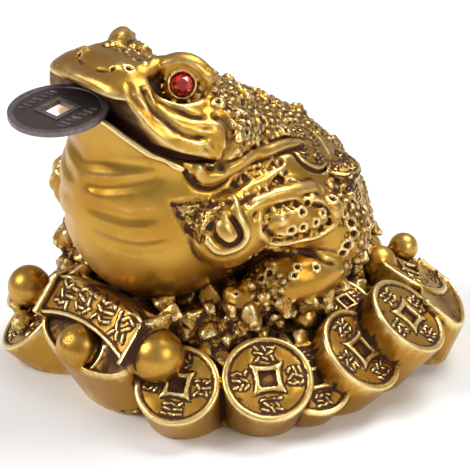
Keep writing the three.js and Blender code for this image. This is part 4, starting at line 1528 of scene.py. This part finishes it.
def ruby_glass(settings):
    """Red foiled glass with painted reflections: facets picked at random are painted bright as flashes,
    the others dark.
    """
    glass = Finish("ruby_glass")
    facet_flash = glass.mark("facet_flash")
    cloud = glass.noise(glass.place(), 900, 2)
    # Painted reflections: each facet's random share picks the bright flash colour or the dark one.
    bright = glass.ramp(glass.total((facet_flash, 0.8), (cloud, 0.4)), 0.3, 0.9)
    colour = glass.blend(bright, settings.ruby_unflashed, settings.ruby_flash)
    return glass.surface(
        Base_Color=colour,
        Roughness=0.05,
        IOR=1.6,
        Coat_Weight=1.0,
        Coat_Roughness=0.02,
    )


def studio_paper(settings):
    """Matt pale paper for the floor."""
    paper = Finish("studio_paper")
    fibre = paper.noise(paper.place(), 700, 3)
    shade = [0.97 * channel for channel in settings.paper]
    paper.bump(fibre, 0.05, 0.1 * MM)
    return paper.surface(Base_Color=paper.blend(fibre, settings.paper, shade), Roughness=0.85)


def ready_to_add():
    """Leaves edit mode and deselects everything."""
    if bpy.context.object and bpy.context.object.mode != "OBJECT":
        bpy.ops.object.mode_set(mode="OBJECT")
    bpy.ops.object.select_all(action="DESELECT")


def pick_faces(piece, test):
    """Selects the faces, by their middle and the way they face, and goes to edit mode."""
    bpy.ops.object.mode_set(mode="EDIT")
    bpy.ops.mesh.select_mode(type="FACE")
    bpy.ops.mesh.select_all(action="DESELECT")
    bpy.ops.object.mode_set(mode="OBJECT")
    for face in piece.data.polygons:
        face.select = bool(test(face.center, face.normal))
    bpy.ops.object.mode_set(mode="EDIT")


def combine(piece, tool, operation):
    """Joins a tool's solid to the piece, or cuts it out of it, and removes the tool."""
    ready_to_add()
    bpy.context.view_layer.objects.active = piece
    piece.select_set(True)
    change = piece.modifiers.new("combine", "BOOLEAN")
    change.operation = operation
    change.solver = "EXACT"
    change.use_self = operation == "UNION"
    change.object = tool
    bpy.ops.object.modifier_apply(modifier=change.name)
    bpy.data.objects.remove(tool)


def store(piece, name, values, domain="POINT"):
    attribute = piece.data.attributes.new(name, "FLOAT", domain)
    attribute.data.foreach_set("value", np.asarray(values, np.float32))


def settle_in_frame(piece, node, matrix=None):
    """Puts the piece's mesh in its place and hands it over in place of the node."""
    ready_to_add()
    if matrix is not None:
        piece.data.transform(matrix)
    piece.matrix_world = Matrix.Identity(4)
    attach(piece, "root")
    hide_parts(node)


def middle_of(node):
    low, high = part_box(node)
    return (low + high) / 2


def place_of(at, way, turn=0.0):
    """The matrix that puts a thing made around the origin at a place, facing a way."""
    matrix = Matrix(facing(way).tolist()).to_4x4()
    matrix.translation = at
    return matrix @ Matrix.Rotation(math.radians(turn), 4, "Z")


def box_tool(width, height):
    ready_to_add()
    bpy.ops.mesh.primitive_cube_add(size=1)
    tool = bpy.context.object
    bpy.ops.object.mode_set(mode="EDIT")
    bpy.ops.transform.resize(value=(width, width, height))
    bpy.ops.object.mode_set(mode="OBJECT")
    return tool


def coin_marks(settings):
    """A row of strokes on two opposite sides of both faces, none of them a letter."""
    field = settings.thickness / 2 - settings.relief
    ready_to_add()
    parts = []
    for height in (field, -field):
        for side in (1, -1):
            for along, length, slant in MARK_STROKES:
                bpy.ops.mesh.primitive_cylinder_add(
                    vertices=8,
                    radius=MARK_WIDTH / 2 * MM,
                    depth=length * MM,
                    location=(side * MARK_ROW * MM, side * along * MM, height),
                    rotation=(math.pi / 2, 0, math.radians(90 + slant)),
                )
                parts.append(bpy.context.object)
    for part in parts:
        part.select_set(True)
    bpy.context.view_layer.objects.active = parts[0]
    bpy.ops.object.join()
    marks = bpy.context.object
    bpy.ops.object.transform_apply(location=True, rotation=True, scale=True)
    return marks


def length(name, description, millimetres, **limits):
    """A setting for a length, given in millimetres and kept in metres."""
    return bpy.props.FloatProperty(
        name=name,
        description=description,
        default=millimetres * MM,
        precision=5,
        unit="LENGTH",
        **limits,
    )


def colour(name, description, default):
    """A setting for a colour."""
    return bpy.props.FloatVectorProperty(
        name=name,
        description=description,
        default=default,
        subtype="COLOR",
        min=0,
        max=1,
    )


def strength(name, description, default, **unit):
    """A setting for a light."""
    return bpy.props.FloatProperty(name=name, description=description, default=default, min=0, **unit)


class MoneyToadCasting(bpy.types.PropertyGroup):
    clay_step: length(
        "Clay step",
        "Spacing of the grid on which the casting is modelled",
        0.35,
        min=0.25 * MM,
        max=1 * MM,
    )
    granule: length("Granule", "Width of the painted granules between the cast ones", 1.15)
    gold: colour("Gold", "Colour of the gold paint", (0.58, 0.33, 0.055))
    gold_shade: colour("Gold shade", "Deeper tone that clouds the gold paint", (0.44, 0.215, 0.028))
    worn_gold: colour("Worn gold", "Bright gold rubbed onto what stands out", (0.95, 0.74, 0.33))
    # The patina colour is also used for the painted shade in the broad hollows and inside the mouth gap.
    patina: colour("Patina", "Dark wash in the hollows", (0.075, 0.032, 0.016))


class MoneyToadCoin(bpy.types.PropertyGroup):
    diameter: length("Diameter", "Width of the loose coin", 19.6)
    thickness: length("Thickness", "Thickness of the coin at its rim", 1)
    rim: length("Rim", "Width of the raised rim", 1.2)
    relief: length("Relief", "How deep the field is sunk", 0.2)
    hole: length("Hole", "Side of the square hole", 4.6)
    border: length("Hole border", "Width of the raised border round the hole", 1)
    metal: colour("Metal", "Dark colour of the coin", (0.075, 0.06, 0.062))
    metal_stain: colour("Stain", "Warmer tone that mottles the coin", (0.1, 0.075, 0.07))
    worn_metal: colour("Worn metal", "Lighter metal on the edge and the marks", (0.3, 0.26, 0.25))


class MoneyToadStones(bpy.types.PropertyGroup):
    diameter: length("Diameter", "Width of a stone", 4.5)
    height: length("Height", "Height of a stone over its flat back", 2)
    # The two ruby colours are painted reflections: bright for facets painted as flashing, dark for the
    # rest.
    ruby_flash: colour("Ruby", "Colour of the bright facets", (0.7, 0.008, 0.02))
    ruby_unflashed: colour("Deep ruby", "Colour of the dark facets", (0.12, 0, 0.006))


class MoneyToadStage(bpy.types.PropertyGroup):
    paper: colour("Paper", "Colour of the floor", (0.9, 0.9, 0.9))
    sky: strength("Sky", "Strength of the even light from all round", 0.4)
    key: strength("Key light", "Power of the light in front", 7, unit="POWER")
    fill: strength("Fill light", "Power of the light at the side", 2.5, unit="POWER")
    top: strength("Top light", "Power of the light above and behind", 6, unit="POWER")


class MONEYTOAD_OT_casting(bpy.types.Operator):
    """Model the gilded casting: the toad, and the heap of coins, pearls and ingots under it"""

    bl_idname = "money_toad.casting"
    bl_label = "Toad and treasure"

    def execute(self, context):
        settings = context.scene.money_toad_casting
        low, high = (np.array(corner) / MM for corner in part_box("toad_and_treasure"))
        step = settings.clay_step / MM
        clay = Clay(low - 4 * step, high + 4 * step, step)
        toad_forms(clay)
        eyes(clay, context.scene.money_toad_stones)
        hide_relief(clay)
        mouth(clay, context.scene.money_toad_coin)
        heap(clay)
        _, axes = clay.window(clay.low, clay.low + (clay.size - 1) * clay.step)
        clay.distance = np.maximum(clay.distance, -axes[2])
        piece = cast(clay, "toad_casting")
        mark_casting(piece, clay)
        piece.data.materials.append(antiqued_gold_with_painted_shade(settings))
        settle_in_frame(piece, "toad_and_treasure")
        return {"FINISHED"}


class MONEYTOAD_OT_mouth_coin(bpy.types.Operator):
    """Model the loose coin: rim, sunk field, bordered square hole, and marks on both faces"""

    bl_idname = "money_toad.mouth_coin"
    bl_label = "Mouth coin"

    def execute(self, context):
        settings = context.scene.money_toad_coin
        radius = settings.diameter / 2
        ready_to_add()
        bpy.ops.mesh.primitive_cylinder_add(vertices=96, radius=radius, depth=settings.thickness)
        coin = bpy.context.object
        coin.name = "cash_coin"
        pick_faces(coin, lambda middle, way: abs(way.z) > 0.9)
        bpy.ops.mesh.inset(thickness=settings.rim)
        bpy.ops.mesh.inset(thickness=settings.relief, depth=-settings.relief)
        combine(coin, box_tool(settings.hole + 2 * settings.border, settings.thickness), "UNION")
        combine(coin, coin_marks(settings), "UNION")
        combine(coin, box_tool(settings.hole, 3 * settings.thickness), "DIFFERENCE")
        soften = coin.modifiers.new("soften", "BEVEL")
        soften.width = COIN_SOFTENING * MM
        soften.segments = 2
        soften.angle_limit = math.radians(50)
        bpy.ops.object.modifier_apply(modifier=soften.name)
        bpy.ops.object.shade_smooth_by_angle(angle=math.radians(40))
        field = settings.thickness / 2 - settings.relief
        spots = np.array([vertex.co for vertex in coin.data.vertices])
        raised_share = np.clip((np.abs(spots[:, 2]) - field) / settings.relief, 0, 1)
        at_edge = np.hypot(spots[:, 0], spots[:, 1]) > radius - 2 * COIN_SOFTENING * MM
        store(coin, "worn", np.where(at_edge, 0.6, 0.5 * raised_share))
        coin.data.materials.append(gunmetal(settings))
        matrix = place_of(middle_of("mouth_coin"), MOUTH_COIN_WAY, MOUTH_COIN_TURN)
        settle_in_frame(coin, "mouth_coin", matrix)
        return {"FINISHED"}


class MONEYTOAD_OT_eye_stones(bpy.types.Operator):
    """Cut the two faceted red stones, one for each eye"""

    bl_idname = "money_toad.eye_stones"
    bl_label = "Eye stones"

    def execute(self, context):
        settings = context.scene.money_toad_stones
        ready_to_add()
        bpy.ops.mesh.primitive_ico_sphere_add(subdivisions=2, radius=1)
        first = bpy.context.object
        bpy.ops.object.mode_set(mode="EDIT")
        bpy.ops.mesh.select_all(action="SELECT")
        radius = settings.diameter / 2
        bpy.ops.transform.resize(value=(radius, radius, settings.height / STONE_TABLE_CUT))
        for height, below in ((0, True), (settings.height, False)):
            bpy.ops.mesh.bisect(
                plane_co=(0, 0, height),
                plane_no=(0, 0, 1),
                clear_inner=below,
                clear_outer=not below,
                use_fill=True,
            )
            bpy.ops.mesh.select_all(action="SELECT")
        bpy.ops.mesh.normals_make_consistent(inside=False)
        ready_to_add()
        rng = np.random.default_rng(23)
        # A random share per face, which picks a painted flash or a dark facet.
        store(first, "facet_flash", rng.random(len(first.data.polygons)), "FACE")
        first.data.materials.append(ruby_glass(settings))
        second = bpy.data.objects.new("right_ruby", first.data.copy())
        context.scene.collection.objects.link(second)
        first.name = "left_ruby"
        for piece, side, node in ((first, 1, "left_eye_stone"), (second, -1, "right_eye_stone")):
            way = on_side(side, 0, EYE_WAY)
            back = Vector(stone_back(node, way, settings)) * MM
            settle_in_frame(piece, node, place_of(back, way, STONE_TURN * side))
        return {"FINISHED"}


class MONEYTOAD_OT_stage(bpy.types.Operator):
    """Lay the paper floor and set up the lights and the camera"""

    bl_idname = "money_toad.stage"
    bl_label = "Floor, lights and camera"

    def execute(self, context):
        settings = context.scene.money_toad_stage
        ready_to_add()
        bpy.ops.mesh.primitive_plane_add(size=FLOOR_WIDTH)
        floor = bpy.context.object
        floor.name = "floor"
        floor.data.materials.append(studio_paper(settings))
        world = context.scene.world or bpy.data.worlds.new("studio")
        context.scene.world = world
        world.use_nodes = True
        sky = world.node_tree.nodes["Background"]
        sky.inputs["Color"].default_value = (1, 1, 1, 1)
        sky.inputs["Strength"].default_value = settings.sky
        context.scene.view_settings.view_transform = "Standard"
        powers = (settings.key, settings.fill, settings.top)
        for (name, at, size), power in zip(LIGHTS, powers):
            light = bpy.data.lights.new(name, "AREA")
            light.size = size
            light.energy = power
            aim(bpy.data.objects.new(name, light), at)
        camera = bpy.data.cameras.new("camera")
        camera.angle = 2 * math.atan(HALF_PICTURE / CAMERA_DISTANCE)
        context.scene.camera = aim(bpy.data.objects.new("camera", camera), CAMERA_AT)
        return {"FINISHED"}


def aim(thing, at):
    """Puts a light or camera at a place, looking at the middle of the figure."""
    thing.location = at
    thing.rotation_euler = (Vector(LOOK_AT) - Vector(at)).to_track_quat("-Z", "Y").to_euler()
    bpy.context.scene.collection.objects.link(thing)
    return thing


class MONEYTOAD_PT_sidebar(bpy.types.Panel):
    bl_idname = "MONEYTOAD_PT_sidebar"
    bl_label = "Money toad"
    bl_space_type = "VIEW_3D"
    bl_region_type = "UI"
    bl_category = "Money toad"

    def draw(self, context):
        for operator, _, name in STEPS:
            box = self.layout.box()
            settings = getattr(context.scene, name)
            for each in settings.bl_rna.properties:
                if each.identifier not in ("rna_type", "name"):
                    box.prop(settings, each.identifier)
            box.operator(operator.bl_idname)


STEPS = [
    (MONEYTOAD_OT_casting, MoneyToadCasting, "money_toad_casting"),
    (MONEYTOAD_OT_mouth_coin, MoneyToadCoin, "money_toad_coin"),
    (MONEYTOAD_OT_eye_stones, MoneyToadStones, "money_toad_stones"),
    (MONEYTOAD_OT_stage, MoneyToadStage, "money_toad_stage"),
]


def register():
    for operator, group, name in STEPS:
        bpy.utils.register_class(group)
        bpy.utils.register_class(operator)
        setattr(bpy.types.Scene, name, bpy.props.PointerProperty(type=group))
    bpy.utils.register_class(MONEYTOAD_PT_sidebar)


def unregister():
    bpy.utils.unregister_class(MONEYTOAD_PT_sidebar)
    for operator, group, name in reversed(STEPS):
        delattr(bpy.types.Scene, name)
        bpy.utils.unregister_class(operator)
        bpy.utils.unregister_class(group)


def main():
    register()
    bpy.ops.money_toad.casting()
    bpy.ops.money_toad.mouth_coin()
    bpy.ops.money_toad.eye_stones()
    bpy.ops.money_toad.stage()


if __name__ == "__main__":
    main()
